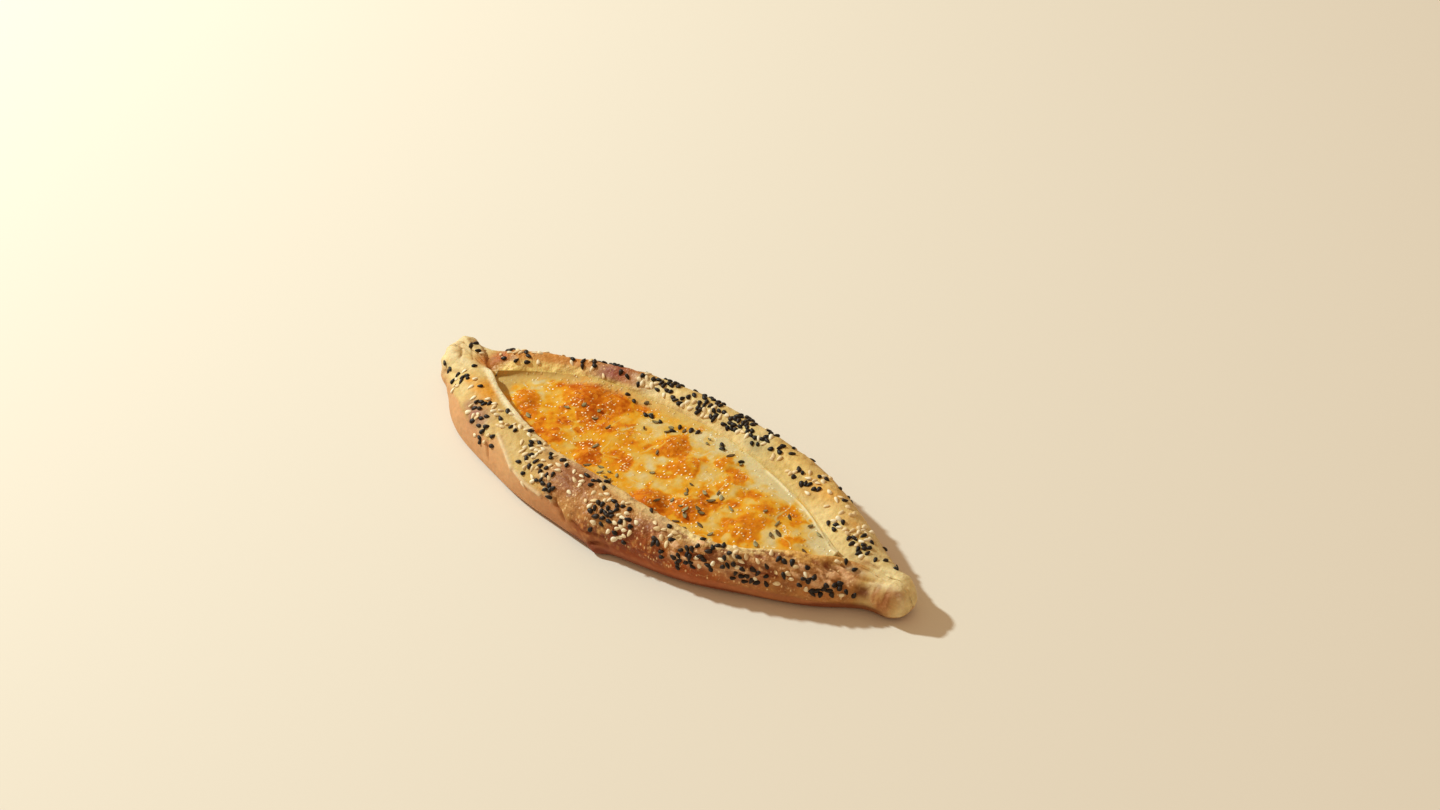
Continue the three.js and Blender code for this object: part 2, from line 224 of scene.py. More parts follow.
def fold_drop(x, y):
    """How far the dough is tucked under at a place near a folded end."""
    drop = np.zeros_like(x)
    for start, end, depth in FOLDS:
        along = np.subtract(end, start)
        length = np.hypot(*along)
        along = along / length
        travel = (x - start[0]) * along[0] + (y - start[1]) * along[1]
        left = along[0] * (y - start[1]) - along[1] * (x - start[0])
        window = ease(travel, -4, 4) * (1 - ease(travel, length - 3, length + 3))
        drop += depth * window * ease(left, -FOLD_EDGE, FOLD_EDGE) * (1 - ease(left, FOLD_EDGE, FOLD_REACH))
    return drop


def dressed(x, y, z):
    """Points of the plain section, moved to where the folds, the nub and the rounded tips put them."""
    is_foot = y < spine_y(x) - side_half_width(x, FRONT) + 2 * FOOT_TUCK
    nub = is_foot * NUB_OUT * (1 - ease(z, 1, NUB_HEIGHT)) * np.exp(-(((x - NUB_X) / NUB_REACH) ** 2))
    z = z - fold_drop(x, y) * ease(z, 9, 14)
    inset = np.where(x < 0, x - BLUNT_END_X, SLIM_END_X - x)
    shrink = np.sqrt(1 - np.clip(1 - inset / by_end(x, TIP_ROUND), 0, 1) ** 2)
    y = mix(spine_y(x), y - nub, shrink)
    z = mix(by_end(x, TIP_POLE_HEIGHT), z, shrink)
    return np.stack([x, y, z], axis=-1)


def boat_stations():
    """Places of the sections along the boat, closing in on each tip by equal angles of its round end, and
    closer together where the slim tip is finely pressed."""
    angles = np.linspace(0, 0.5 * math.pi, TIP_STATIONS + 1)[1:-1]
    blunt = BLUNT_END_X + TIP_ROUND[0] * (1 - np.cos(angles))
    slim = SLIM_END_X - TIP_ROUND[1] * (1 - np.cos(angles))
    middle = np.linspace(BLUNT_END_X + TIP_ROUND[0], PRESSED_TIP_X, STATIONS)
    pressed = np.linspace(PRESSED_TIP_X, SLIM_END_X - TIP_ROUND[1], PRESSED_TIP_STATIONS)
    return np.concatenate([blunt, middle, pressed[1:], slim[::-1]])


def mesh_of(name, points, faces):
    """A smooth mesh from points in the boat's millimetres."""
    mesh = bpy.data.meshes.new(name)
    mesh.from_pydata((points + TO_MIDDLE) * MILLIMETRE, [], faces)
    mesh.shade_smooth()
    return mesh


def loft(name, rings, poles):
    """A closed mesh through rings of points that turn from +Y to +Z, with a pole at each end."""
    rows, columns = rings.shape[:2]
    place = np.arange(rows * columns).reshape(rows, columns)
    after = np.roll(place, -1, axis=1)
    walls = np.stack([place[:-1], after[:-1], after[1:], place[1:]], axis=-1).reshape(-1, 4)
    first, last = rows * columns, rows * columns + 1
    start = [(first, b, a) for a, b in zip(place[0], after[0])]
    end = [(last, a, b) for a, b in zip(place[-1], after[-1])]
    return mesh_of(name, np.vstack([rings.reshape(-1, 3), poles]), walls.tolist() + start + end)


def points_of(mesh):
    """A mesh's vertices in the boat's millimetres."""
    points = np.empty(3 * len(mesh.vertices))
    mesh.vertices.foreach_get("co", points)
    return points.reshape(-1, 3) / MILLIMETRE - TO_MIDDLE


def normals_of(mesh):
    normals = np.empty(3 * len(mesh.vertices))
    mesh.vertex_normals.foreach_get("vector", normals)
    return normals.reshape(-1, 3)


def pushed(mesh, height):
    """Moves each vertex along its normal by a height in millimetres."""
    points = points_of(mesh) + normals_of(mesh) * height[:, None]
    mesh.vertices.foreach_set("co", ((points + TO_MIDDLE) * MILLIMETRE).ravel())
    mesh.update()


def paint(mesh, name, values):
    """Keeps one number or one colour per vertex on a mesh, for its material and for the node trees."""
    if values.ndim == 1:
        layer = mesh.attributes.new(name, "FLOAT", "POINT")
        layer.data.foreach_set("value", values.astype(np.float32))
    else:
        layer = mesh.attributes.new(name, "FLOAT_COLOR", "POINT")
        opaque = np.column_stack([values, np.ones(len(values))])
        layer.data.foreach_set("color", opaque.astype(np.float32).ravel())


CLOUD_CELLS = 48


def cloud(points, size, seed):
    """Smooth unevenness from -1 to 1 at each point, in lumps of about that size."""
    cells = np.random.default_rng(seed).uniform(-1, 1, (CLOUD_CELLS,) * 3)
    spot = points / size
    corner = np.floor(spot).astype(int)
    share = spot - corner
    share = share * share * (3 - 2 * share)
    total = np.zeros(len(points))
    for step in np.ndindex(2, 2, 2):
        weight = np.prod(np.where(step, share, 1 - share), axis=1)
        total += weight * cells[tuple(((corner + step) % CLOUD_CELLS).T)]
    return total


def gap_to_path(points, path):
    """The distance from each point to a line through a few places."""
    gap = np.full(len(points), np.inf)
    for start, end in zip(np.array(path[:-1], float), np.array(path[1:], float)):
        along = end - start
        share = np.clip((points - start) @ along / (along @ along), 0, 1)
        gap = np.minimum(gap, np.linalg.norm(points - start - share[:, None] * along, axis=1))
    return gap


stations = boat_stations()
back_out, back_up, runs_passed = half_section(stations, BACK)
front_out, front_up, _ = half_section(stations, FRONT)
station_grid = np.repeat(stations[:, None], back_out.shape[1], axis=1)
back_half = dressed(station_grid, spine_y(station_grid) + back_out, back_up)
front_half = dressed(station_grid, spine_y(station_grid) - front_out, front_up)
rings = np.concatenate([back_half, front_half[:, -2:0:-1]], axis=1)
ring_runs = np.concatenate([runs_passed, runs_passed[-2:0:-1]])
ring_sides = np.concatenate([np.full(len(runs_passed), BACK), np.full(len(runs_passed) - 2, FRONT)])
tip_x = np.array([BLUNT_END_X, SLIM_END_X], float)
tip_poles = np.column_stack([tip_x, spine_y(tip_x), TIP_POLE_HEIGHT])
boat_mesh = loft("dough_boat", rings, tip_poles)
boat_points = points_of(boat_mesh)
boat_runs = np.concatenate([np.tile(ring_runs, len(stations)), [TIP_POLE_RUN] * 2])
boat_sides = np.concatenate([np.tile(ring_sides, len(stations)), [FRONT, FRONT]])

# Creases and ridges pressed into the dough by hand: paths, half-width and height, below zero for a groove.
PRESSED_LINES = [
    ([(-62, -33, 20.5), (-58.5, -34.7, 19.6), (-53.8, -37.5, 18.5), (-46.4, -41.7, 15.4)], 1.0, 1.2),
    ([(-46.4, -41.7, 15.4), (-36, -44, 13.5), (-27.5, -45.2, 13.3)], 0.9, 0.8),
    ([(-31, -40, 19), (-26, -43.5, 17), (-21, -45.6, 14)], 0.9, 0.9),
    ([(-66.5, -34.5, 18.5), (-65, -36.3, 16.2), (-63.6, -38, 13), (-62.3, -39.3, 9.9)], 0.7, -1.2),
    ([(-19.5, -45, 15), (-18.7, -46, 13.7), (-15.4, -46.9, 11.9), (-13, -47.4, 9)], 0.8, -1.0),
    ([(-9, -47.5, 11), (-3, -48, 9), (3.4, -47.6, 10.6), (8, -47, 11)], 0.8, -0.9),
    ([(94, 0, 16.2), (101, 1, 15.8), (106, 1.8, 15.4)], 0.9, -0.7),
    ([(97, -5.5, 15.6), (102.2, -3.7, 14.8), (108, -1, 14.6), (112, 0.6, 14.2)], 1.2, 0.8),
    ([(95, -8.4, 16), (99.5, -7.2, 15), (104, -5.8, 14.2), (108, -4.2, 13.8)], 0.9, -0.8),
    ([(104.4, -10, 12.6), (107, -9.2, 12)], 1.3, -0.8),
    ([(108, -5.4, 14), (113, -4.2, 14.2), (119, -2.6, 14)], 1.3, 0.6),
    ([(109, -7.6, 10.5), (114, -6.8, 10.5), (118.5, -5.2, 10.5)], 3.2, -0.6),
    ([(120.8, -4.4, 14), (121.4, -4.6, 9), (120.8, -5, 5)], 1.3, 0.6),
    ([(111, -7, 13.4), (112, -8.8, 9.4)], 0.7, -0.4),
    ([(115.4, -6.6, 13.6), (116, -8.3, 9)], 0.8, -0.5),
    ([(1.4, -47.8, 5.2), (4.5, -47.4, 6.6), (9, -46.8, 6.8)], 0.8, -1.0),
    ([(-112, 12, 15.5), (-106, 8.2, 17), (-100, 2.8, 18.4), (-96.6, 0.3, 18.2)], 1.0, -0.8),
    ([(-116, -8.4, 12), (-109.6, -9.7, 15.9), (-105.2, -9.8, 18.1), (-101.4, -8.1, 19.9)], 0.9, -0.7),
    ([(-121.5, -2, 15.5), (-119, 3.5, 17.8), (-115.5, 8.5, 18.3)], 0.5, -0.7),
    ([(-118, 4.2, 18), (-113.5, 1, 18.7), (-110.5, -3.5, 18.6)], 0.5, -0.7),
    ([(-114, 8, 18.5), (-109, 2.5, 19), (-105, -1, 19.5)], 0.5, -0.6),
    ([(-120, 9, 17), (-114, 6, 18.8), (-107, 4.5, 19)], 1.6, 0.8),
    ([(-118, -2, 17.5), (-111, -3, 19), (-104, -4, 19.5)], 1.8, 0.5),
]
WRINKLE_HEIGHT = 0.65
KNOB_FROM_TO = (105, 116)
KNOB_LUMP = 1.2
SLIM_TIP_FROM_TO = (96, 108)
SLIM_TIP_LUMP = 0.5


def oven_wrinkles(points, runs, sides):
    """Wrinkles on the front of the slim half, above zero where raised, and how much of them there is."""
    x = points[:, 0]
    wrinkle = cloud(points * (0.4, 1, 1), 1.9, 15) + 0.5 * cloud(points * (0.5, 1, 1), 0.9, 16)
    share = ease(x, 22, 40) * (1 - ease(x, 97, 106)) * (sides == FRONT)
    return wrinkle, share * ease(runs, 0.15, 0.35) * (1 - ease(runs, 0.95, 1.25))


press = WRINKLE_HEIGHT * np.prod(oven_wrinkles(boat_points, boat_runs, boat_sides), axis=0)
# How deep each pressed groove is, for the painted shade in it.
crease_shade = np.zeros(len(boat_points))
# How high each pressed ridge is, for the painted highlight along it.
ridge_highlight = np.zeros(len(boat_points))
for path, half_width, height in PRESSED_LINES:
    mark = np.exp(-((gap_to_path(boat_points, path) / half_width) ** 2))
    press += height * mark
    crease_shade = np.maximum(crease_shade, mark * np.clip(-height, 0, 1))
    ridge_highlight = np.maximum(ridge_highlight, mark * np.clip(height, 0, 1))
on_roll = ease(boat_runs, -0.7, 0.1) * (1 - ease(boat_runs, 2.2, 2.8))
on_knob = ease(-boat_points[:, 0], *KNOB_FROM_TO) * on_roll
on_slim_tip = ease(boat_points[:, 0], *SLIM_TIP_FROM_TO) * on_roll
press += KNOB_LUMP * cloud(boat_points, 4.5, 3) * on_knob
press += SLIM_TIP_LUMP * cloud(boat_points, 4.0, 4) * on_slim_tip
pushed(boat_mesh, press)
boat_points = points_of(boat_mesh)

# Tones of baked dough as the share of red, green and blue light they send back.
CREAM = (0.80, 0.64, 0.32)
STRAW = (0.64, 0.42, 0.13)
PEACH = (0.65, 0.335, 0.145)
RED_PEACH = (0.48, 0.19, 0.07)
GOLDEN = (0.80, 0.32, 0.012)
TAN = (0.58, 0.28, 0.08)
BROWN = (0.40, 0.15, 0.05)
DEEP_BROWN = (0.19, 0.05, 0.014)
MAUVE = (0.33, 0.11, 0.085)
HONEY = (0.86, 0.58, 0.19)
UMBER = (0.42, 0.18, 0.09)
RUST = (0.42, 0.08, 0.006)
ORANGE = (0.52, 0.13, 0.004)
APRICOT = (0.66, 0.27, 0.055)
WALL = (0.98, 0.80, 0.24)
WALL_IN_MIDDLE = (0.86, 0.64, 0.28)
FLOURY = (0.74, 0.55, 0.29)
PALE_SCUFF_AND_HIGHLIGHT = (0.84, 0.50, 0.26)
OAT = (0.46, 0.36, 0.17)
LIP_CREAM = (0.97, 0.85, 0.55)
LIP_BUTTER = (0.95, 0.74, 0.33)
LIP_ORANGE = (0.84, 0.48, 0.13)
LIP_GOLD = (0.98, 0.72, 0.25)
SOLE_AND_CONTACT_SHADE = (0.21, 0.045, 0.016)
MAROON = (0.25, 0.055, 0.016)
# Tints that deepen a tone: the sides by the blunt end, the foot and the side of the roasted front, the dull
# slope at the back, and the bottom of a crease, where it stands for painted shade.
BLUNT_SIDE_TINT = (0.86, 0.82, 0.75)
ROASTED_FOOT_TINT = (0.9, 0.7, 0.75)
ROASTED_SIDE_TINT = (0.78, 0.38, 0.14)
DULL_SLOPE_TINT = (0.8, 0.79, 0.68)
CREASE_SHADE_TINT = (0.70, 0.54, 0.42)
BROWNING_STEPS = [0.0, 0.3, 0.55, 0.8, 1.0]
BROWNING_TONES = np.array([CREAM, STRAW, TAN, BROWN, DEEP_BROWN])
# How far the top of each side has browned: places along the boat and 0 for pale to 1 for dark.
BROWNING_PLACES = {
    FRONT: [-122, -110, -98, -80, -60, -42, -25, 0, 25, 60, 90, 100, 107, 116],
    BACK: [-122, -108, -96, -80, -60, -45, -30, 0, 30, 60, 75, 95, 106, 116],
}
BROWNING = {
    FRONT: [0.04, 0.12, 0.26, 0.26, 0.26, 0.30, 0.50, 0.56, 0.62, 0.56, 0.52, 0.54, 0.24, 0.04],
    BACK: [0.05, 0.25, 0.60, 0.52, 0.48, 0.55, 0.30, 0.16, 0.22, 0.32, 0.22, 0.18, 0.10, 0.05],
}
# Where the brushing ends on the side of the roll along the front: 0 is the bulge and 1 the crest.
BRUSHED_PLACES = [-126, -116, -93, -81, -65, -61, -58, -54, -46, -36, -18, -13, 6, 15, 30, 57, 85, 105, 124]
BRUSHED_FROM = [
    *(0.2, 0.24, 0.45, 0.37, 0.4, 0.6, 0.64, 0.55, 0.34, 0.26),
    *(0.24, 0.1, 0.04, 0.02, 0, -0.05, -0.1, -0.4, -0.7),
]
BRUSHED_FROM_BACK = 0.25
# How far up the foot of the front the dark of the base reaches, the browned base carried up as painted
# contact shade: -1 is the base and 0 the bulge.
FOOT_PLACES = [-60, -18, -8, 60, 82, 92, 112]
FOOT_DARK_TO = [-0.55, -0.5, -0.2, -0.25, -0.45, -0.15, -0.1]
FOOT_DARK_TO_BACK = -0.55
# Patches on the crust: place, reach, tone and strength.
CRUST_PATCHES = [
    ((-118, 3, 17), 9, FLOURY, 0.85),
    ((-101, 1.5, 18), 4, TAN, 0.6),
    ((-95.5, -13.7, 21), 3.5, GOLDEN, 0.8),
    ((-86, -14, 21.5), 4.5, GOLDEN, 0.85),
    ((-81, -16, 21), 5.5, GOLDEN, 0.9),
    ((-79, -20, 21), 3.5, GOLDEN, 0.6),
    ((-78, -28.5, 18.6), 6, MAUVE, 0.9),
    ((-84, -26.5, 18.5), 3, MAUVE, 0.5),
    ((-42, -29, 21), 6, UMBER, 0.3),
    ((-34, -31, 21), 5, UMBER, 0.35),
    ((-22, -33, 22), 6.5, UMBER, 1.0),
    ((-16, -33, 22), 6, BROWN, 0.6),
    ((-60, -34, 19), 6, TAN, 0.3),
    ((-53, -33, 21), 8, STRAW, 0.7),
    ((-40, -35, 20), 8, STRAW, 0.6),
    ((-99, 2, 19), 5, ORANGE, 0.75),
    ((-97, 9, 19), 6.5, RUST, 1.0),
    ((-88, 12, 20), 7, APRICOT, 0.9),
    ((-77, 18, 21), 9, APRICOT, 0.95),
    ((-64, 25, 21), 9, APRICOT, 0.9),
    ((-71, 24, 20), 5, ORANGE, 0.4),
    ((-50, 27.5, 21), 9, MAUVE, 1.0),
    ((-45, 29, 20.5), 6, RUST, 0.7),
    ((-13, -33, 22), 7, BROWN, 0.7),
    ((-14, -41, 20), 6, BROWN, 0.6),
    ((-16, -40, 20.5), 7, BROWN, 0.7),
    ((-15, -39.5, 20.5), 6, DEEP_BROWN, 0.3),
    ((-17, -38, 21), 6.5, BROWN, 0.75),
    ((-17, -36.5, 21.5), 5, DEEP_BROWN, 0.5),
    ((-7, -42, 20), 7, BROWN, 0.5),
    ((-10, -46, 14), 7, TAN, 0.6),
    ((-3, -47, 12), 5, ORANGE, 0.5),
    ((5, -46, 15), 3.5, STRAW, 0.6),
    ((11, -46, 13), 6, DEEP_BROWN, 0.45),
    ((20, -43.5, 16), 6.5, DEEP_BROWN, 0.8),
    ((26, -42, 17.5), 6, BROWN, 0.9),
    ((23, -42.5, 17.5), 5, DEEP_BROWN, 0.4),
    ((23, -45, 10), 6, RUST, 0.95),
    ((15, -46, 10.5), 5, DEEP_BROWN, 0.7),
    ((27, -34, 21), 9, MAUVE, 0.45),
    ((30, -43, 13), 6, ORANGE, 0.9),
    ((37, -42, 12), 6, ORANGE, 1.0),
    ((37, -42, 8), 5, RUST, 0.8),
    ((49, -39, 10), 6.5, RUST, 0.95),
    ((51, -38, 10.5), 4, DEEP_BROWN, 0.35),
    ((35, -38, 20), 5, STRAW, 0.6),
    ((55, -33, 20), 8, TAN, 0.6),
    ((46, -39, 14), 5, DEEP_BROWN, 0.35),
    ((72, -28, 18.5), 6, UMBER, 0.35),
    ((72, -30, 12), 4, DEEP_BROWN, 0.25),
    ((66, -32, 13), 5, MAUVE, 0.4),
    ((59, -32, 19), 6, CREAM, 0.6),
    ((86, -20, 17), 7, BROWN, 0.3),
    ((82, -26, 10), 5, DEEP_BROWN, 0.5),
    ((93, -12.5, 16), 5, DEEP_BROWN, 0.85),
    ((99, -11.5, 13), 4, BROWN, 0.5),
    ((100, -6, 16), 3, BROWN, 0.4),
    ((104, -12, 8), 4, BROWN, 0.5),
    ((2, -47.2, 2.2), 4, MAUVE, 2.4),
    ((7, -47.2, 3.3), 3, MAUVE, 2.4),
    ((-0.6, -48, 7.2), 1.7, PEACH, 2.4),
    # Deep brown in the nub's hollow is painted shade.
    ((2.8, -47.7, 6), 1.8, DEEP_BROWN, 2.4),
    ((112, 1, 14.2), 5, CREAM, 0.9),
    ((118, 3, 15), 7, CREAM, 0.8),
    ((123, -2, 10), 6, CREAM, 1.0),
    ((114, -8.6, 9.5), 6, TAN, 0.85),
    ((100, 0, 15.6), 3, TAN, 0.6),
    ((119.6, -5.4, 12.6), 2.4, BROWN, 1.0),
    ((115.6, -9, 6.5), 4, RED_PEACH, 0.7),
    ((105.8, -9.4, 12.2), 2.8, DEEP_BROWN, 1.0),
    ((15, 31, 20), 11, HONEY, 0.4),
    ((38, 28, 20.5), 10, HONEY, 0.6),
    ((60, 21, 20), 11, HONEY, 0.65),
    ((78, 16, 18.5), 9, HONEY, 0.65),
    ((69, 11, 20), 7, CREAM, 0.6),
    ((61, 22, 21), 5, GOLDEN, 0.5),
    ((69, 20, 20), 5, GOLDEN, 0.6),
    ((84, 14, 17), 3.5, GOLDEN, 0.6),
    ((-40, 25, 18.5), 5, APRICOT, 0.5),
    ((-20, 27, 18.5), 8, HONEY, 0.8),
    ((25, 25, 18), 8, OAT, 0.9),
    ((45, 19, 17.5), 9, HONEY, 0.8),
    ((62, 14, 17), 8, HONEY, 0.7),
    ((60, 17, 19), 4, APRICOT, 0.4),
    ((-9, 29, 19), 8, STRAW, 0.6),
    ((8, 28, 18), 8, STRAW, 0.6),
    ((13, -26, 20), 6, BROWN, 0.8),
]
# Brown streaks that the oven left on the front of the slim tip: where, how far and how fine.
STREAKED_SPOT = (114.5, -7.8, 11.5)
STREAKED_REACH = 4.8
STREAK_SIZE = 1.5
# A gritty dark stretch above the nub, where the brushing ran down and burnt: its line and reach.
GRITTY_LINE = [(-4, -47.5, 11), (10, -46.5, 12), (22, -44.5, 13), (32, -43, 11)]
GRITTY_REACH = 5.5
# How strongly the front lip shows as a pale band, partly paler dough and partly a painted highlight: places
# along the boat and shares.
LIP_PLACES = [-95, -65, -50, 5, 25, 64, 88]
LIP_SHARE = [1.0, 1.0, 0.55, 0.5, 1.0, 1.0, 0.8]
# Where that band starts, by the count of runs: 1 is the crest and 2 the edge of the opening.
LIP_FROM_PLACES = [-95, -65, -45, -10, 25]
LIP_FROM = [1.2, 1.2, 1.1, 1.05, 0.72]
LIP_FROM_BACK = 1.0
LIP_SHARE_BACK = (0.65, 0.95)
LIP_FADE = 0.35
OPEN_FROM_TO = (-3, 4)


def laid_over(tone, colour, share):
    """Lays a colour, or one colour for each point, over the tones by a share for each point."""
    return mix(tone, np.asarray(colour), share[:, None])


def toned(level, steps, tones):
    """The colour for each level, from tones at a few steps."""
    return np.column_stack([np.interp(level, steps, channel) for channel in tones.T])


def brushed_share(x, runs, is_front, broad):
    """1 where the dough was brushed and 0 on its matt sides, with a softer border round the tips."""
    edge = np.interp(x, BRUSHED_PLACES, BRUSHED_FROM)
    edge = np.where(is_front, edge, mix(BRUSHED_FROM_BACK, edge, ease(np.abs(x), 98, 116)))
    soft = 0.2 * ease(np.abs(x), 100, 116)
    return ease(runs + (0.03 + 0.4 * soft) * broad, edge - 0.04 - soft, edge + 0.06 + soft)


def lip_band(x, runs, is_front, broad):
    """The colours of the pale lip and how strongly it shows; the band is partly paler dough and partly a
    painted highlight.
    """
    tone = laid_over(np.array(LIP_CREAM), LIP_BUTTER, ease(x, -60, 20))
    tone = laid_over(tone, LIP_ORANGE, ease(x, 66, 80) * is_front)
    tone = laid_over(tone, LIP_GOLD, ease(-x, 40, 70) * ~is_front)
    start = np.where(is_front, np.interp(x, LIP_FROM_PLACES, LIP_FROM), LIP_FROM_BACK)
    back_share = mix(*LIP_SHARE_BACK, ease(-x, 30, 60))
    share = np.where(is_front, np.interp(x, LIP_PLACES, LIP_SHARE), back_share)
    share = share * ease(runs + 0.08 * broad, start, start + LIP_FADE) * (1 - ease(runs, 2.1, 2.6))
    return tone, share * ease(raw_opening(x), *OPEN_FROM_TO)


def with_patches(tone, points, brushed):
    """Tones with the patches laid over them in turn, fainter where the dough wasn't brushed."""
    warped = points + 2.2 * np.column_stack([cloud(points, 6, seed) for seed in (21, 22, 23)])
    for place, reach, patch_tone, strength in CRUST_PATCHES:
        gap = np.linalg.norm(warped - place, axis=1)
        cover = strength * np.exp(-((gap / reach) ** 2)) * mix(0.4, 1.0, brushed)
        tone = laid_over(tone, patch_tone, np.minimum(cover, 1))
    return tone


def with_oven_marks(tone, points, runs, sides):
    """Tones with the marks of the oven on the front: wrinkles, paler on their crests as painted highlight
    and darker in their hollows as painted shade among random scorch, the gritty stretch and the tip's
    streaks.
    """
    wrinkle, wrinkled = oven_wrinkles(points, runs, sides)
    # Wrinkle crests are painted paler as highlight and their hollows maroon as shade, mixed with random
    # scorch.
    scorch_and_shade = 0.9 * cloud(points * (0.6, 1, 1), 4.5, 24) - wrinkle
    tone = laid_over(tone, PALE_SCUFF_AND_HIGHLIGHT, wrinkled * ease(-scorch_and_shade, 0.2, 0.7))
    tone = laid_over(tone, MAROON, 0.8 * wrinkled * ease(scorch_and_shade, 0.15, 0.75))
    gritty = np.exp(-((gap_to_path(points, GRITTY_LINE) / GRITTY_REACH) ** 2)) * (sides == FRONT)
    grit = cloud(points, 1.6, 18) + 0.6 * cloud(points, 0.9, 19)
    tone = laid_over(tone, MAROON, 0.9 * gritty * ease(-grit, -0.8, 0.2))
    tone = laid_over(tone, TAN, 0.6 * gritty * ease(grit, 0.4, 0.8))
    streaked = np.exp(-((np.linalg.norm(points - STREAKED_SPOT, axis=1) / STREAKED_REACH) ** 2))
    streaked = streaked * ease(cloud(points * (1, 0.25, 0.25), STREAK_SIZE, 17), -0.15, 0.3)
    return laid_over(tone, BROWN, streaked)


def crust_tone(points, runs, sides, crease_shade, ridge_highlight):
    """The colour of the dough and how much of the brushed shine each place has."""
    x = points[:, 0]
    is_front = sides == FRONT
    broad = cloud(points, 9, 11) + 0.5 * cloud(points, 4, 12)
    fine = cloud(points, 1.8, 13) + 0.6 * cloud(points, 0.9, 14)
    by_side = [np.interp(x, BROWNING_PLACES[side], BROWNING[side]) for side in (FRONT, BACK)]
    browning = np.where(is_front, *by_side) + 0.13 * broad + 0.06 * fine
    skin = laid_over(np.array(PEACH), RED_PEACH, ease(x, -50, -5) * (1 - ease(x, 84, 104)) * is_front)
    skin = skin * (1 + 0.06 * broad + 0.03 * fine)[:, None]
    skin = laid_over(skin, skin * BLUNT_SIDE_TINT, ease(-x, 90, 106))
    brushed = brushed_share(x, runs, is_front, broad)
    tone = laid_over(skin, toned(browning, BROWNING_STEPS, BROWNING_TONES), brushed)
    roasted = ease(x, 2, 16) * is_front * ease(runs, -0.5, -0.3) * (1 - ease(runs, 0.3, 0.6))
    roasted = roasted * (1 - 0.6 * ease(x, 52, 68)) * (1 - ease(x, 100, 108))
    roasted_tint = laid_over(np.array(ROASTED_FOOT_TINT), ROASTED_SIDE_TINT, ease(runs, -0.12, 0.04))
    tone = laid_over(tone, tone * roasted_tint, roasted)
    lip_tone, lip = lip_band(x, runs, is_front, broad)
    tone = with_patches(laid_over(tone, lip_tone, lip), points, brushed)
    lip_again = lip * ease(-x, 56, 66) * np.where(is_front, 1.0, 0.9 * ease(runs, 1.35, 1.6))
    tone = with_oven_marks(laid_over(tone, lip_tone, lip_again), points, runs, sides)
    wall_tone = laid_over(np.array(WALL), WALL_IN_MIDDLE, ease(x, -60, -15))
    tone = laid_over(tone, wall_tone, 0.9 * ease(runs, 1.75, 2.15) * ease(raw_opening(x), *OPEN_FROM_TO))
    dull = ease(x, 20, 30) * (1 - ease(x, 58, 74)) * ~is_front * ease(runs, 1.3, 1.55)
    tone = laid_over(tone, tone * DULL_SLOPE_TINT, dull)
    # Painted shade darkens the bottom of each pressed crease.
    tone = laid_over(tone, tone * CREASE_SHADE_TINT, crease_shade)
    # A painted highlight in pale cream along the raised ridges on the front.
    tone = laid_over(tone, LIP_CREAM, 0.6 * ridge_highlight * is_front)
    # The browned base, carried up the foot as a dark band that also paints the contact shade there.
    dark_to = np.where(is_front, np.interp(x, FOOT_PLACES, FOOT_DARK_TO), FOOT_DARK_TO_BACK)
    foot = 1 - ease(runs + 0.04 * broad, dark_to - 0.2, dark_to)
    foot = foot * (1 - ease(np.abs(x), 112, 119) * ease(points[:, 2], 1, 4))
    shine = brushed * (1 - foot) * mix(0.45, 1.0, ease(browning, 0.35, 0.65))
    return laid_over(tone, SOLE_AND_CONTACT_SHADE, 0.85 * foot), shine


boat_tone, boat_glaze = crust_tone(boat_points, boat_runs, boat_sides, crease_shade, ridge_highlight)
paint(boat_mesh, "tone", boat_tone)
paint(boat_mesh, "glaze", boat_glaze)
paint(boat_mesh, "relief", on_roll * mix(0.25, 1.0, boat_glaze))


def add_node(tree, kind, values=None, **settings):
    """Adds a node with its settings, and a value or a link for each of the input sockets named."""
    node = tree.nodes.new(kind)
    for name, value in settings.items():
        setattr(node, name, value)
    for name, value in (values or {}).items():
        socket = node.inputs[name]
        if isinstance(value, bpy.types.NodeSocket):
            tree.links.new(value, socket)
        else:
            socket.default_value = value
    return node


def calc(tree, operation, *terms):
    return add_node(tree, "ShaderNodeMath", dict(enumerate(terms)), operation=operation).outputs[0]


def times(tree, value, factor):
    return calc(tree, "MULTIPLY", value, factor)


def scaled(tree, value, factor):
    values = {0: value, "Scale": factor}
    return add_node(tree, "ShaderNodeVectorMath", values, operation="SCALE").outputs[0]


def named_layer(tree, name, kind="FLOAT"):
    node = add_node(tree, "GeometryNodeInputNamedAttribute", {"Name": name}, data_type=kind)
    return node.outputs["Attribute"]


def geometry_tree(name, inputs):
    """A Geometry Nodes tree that works on a mesh: the tree, its named inputs and its end socket."""
    tree = bpy.data.node_groups.new(name, "GeometryNodeTree")
    tree.interface.new_socket("Geometry", in_out="INPUT", socket_type="NodeSocketGeometry")
    for label, kind in inputs.items():
        tree.interface.new_socket(label, in_out="INPUT", socket_type="NodeSocket" + kind)
    tree.interface.new_socket("Geometry", in_out="OUTPUT", socket_type="NodeSocketGeometry")
    entry = tree.nodes.new("NodeGroupInput")
    end = tree.nodes.new("NodeGroupOutput")
    return tree, entry.outputs, end.inputs["Geometry"]


def finish_tree(tree, geometry, material, end):
    """Closes a tree the way every tree here ends: smooth, realized, with its material."""
    smooth = add_node(tree, "GeometryNodeSetShadeSmooth", {"Geometry": geometry})
    realized = add_node(tree, "GeometryNodeRealizeInstances", {"Geometry": smooth.outputs[0]})
    dressed_mesh = add_node(
        tree, "GeometryNodeSetMaterial", {"Geometry": realized.outputs[0], "Material": material}
    )
    tree.links.new(dressed_mesh.outputs[0], end)


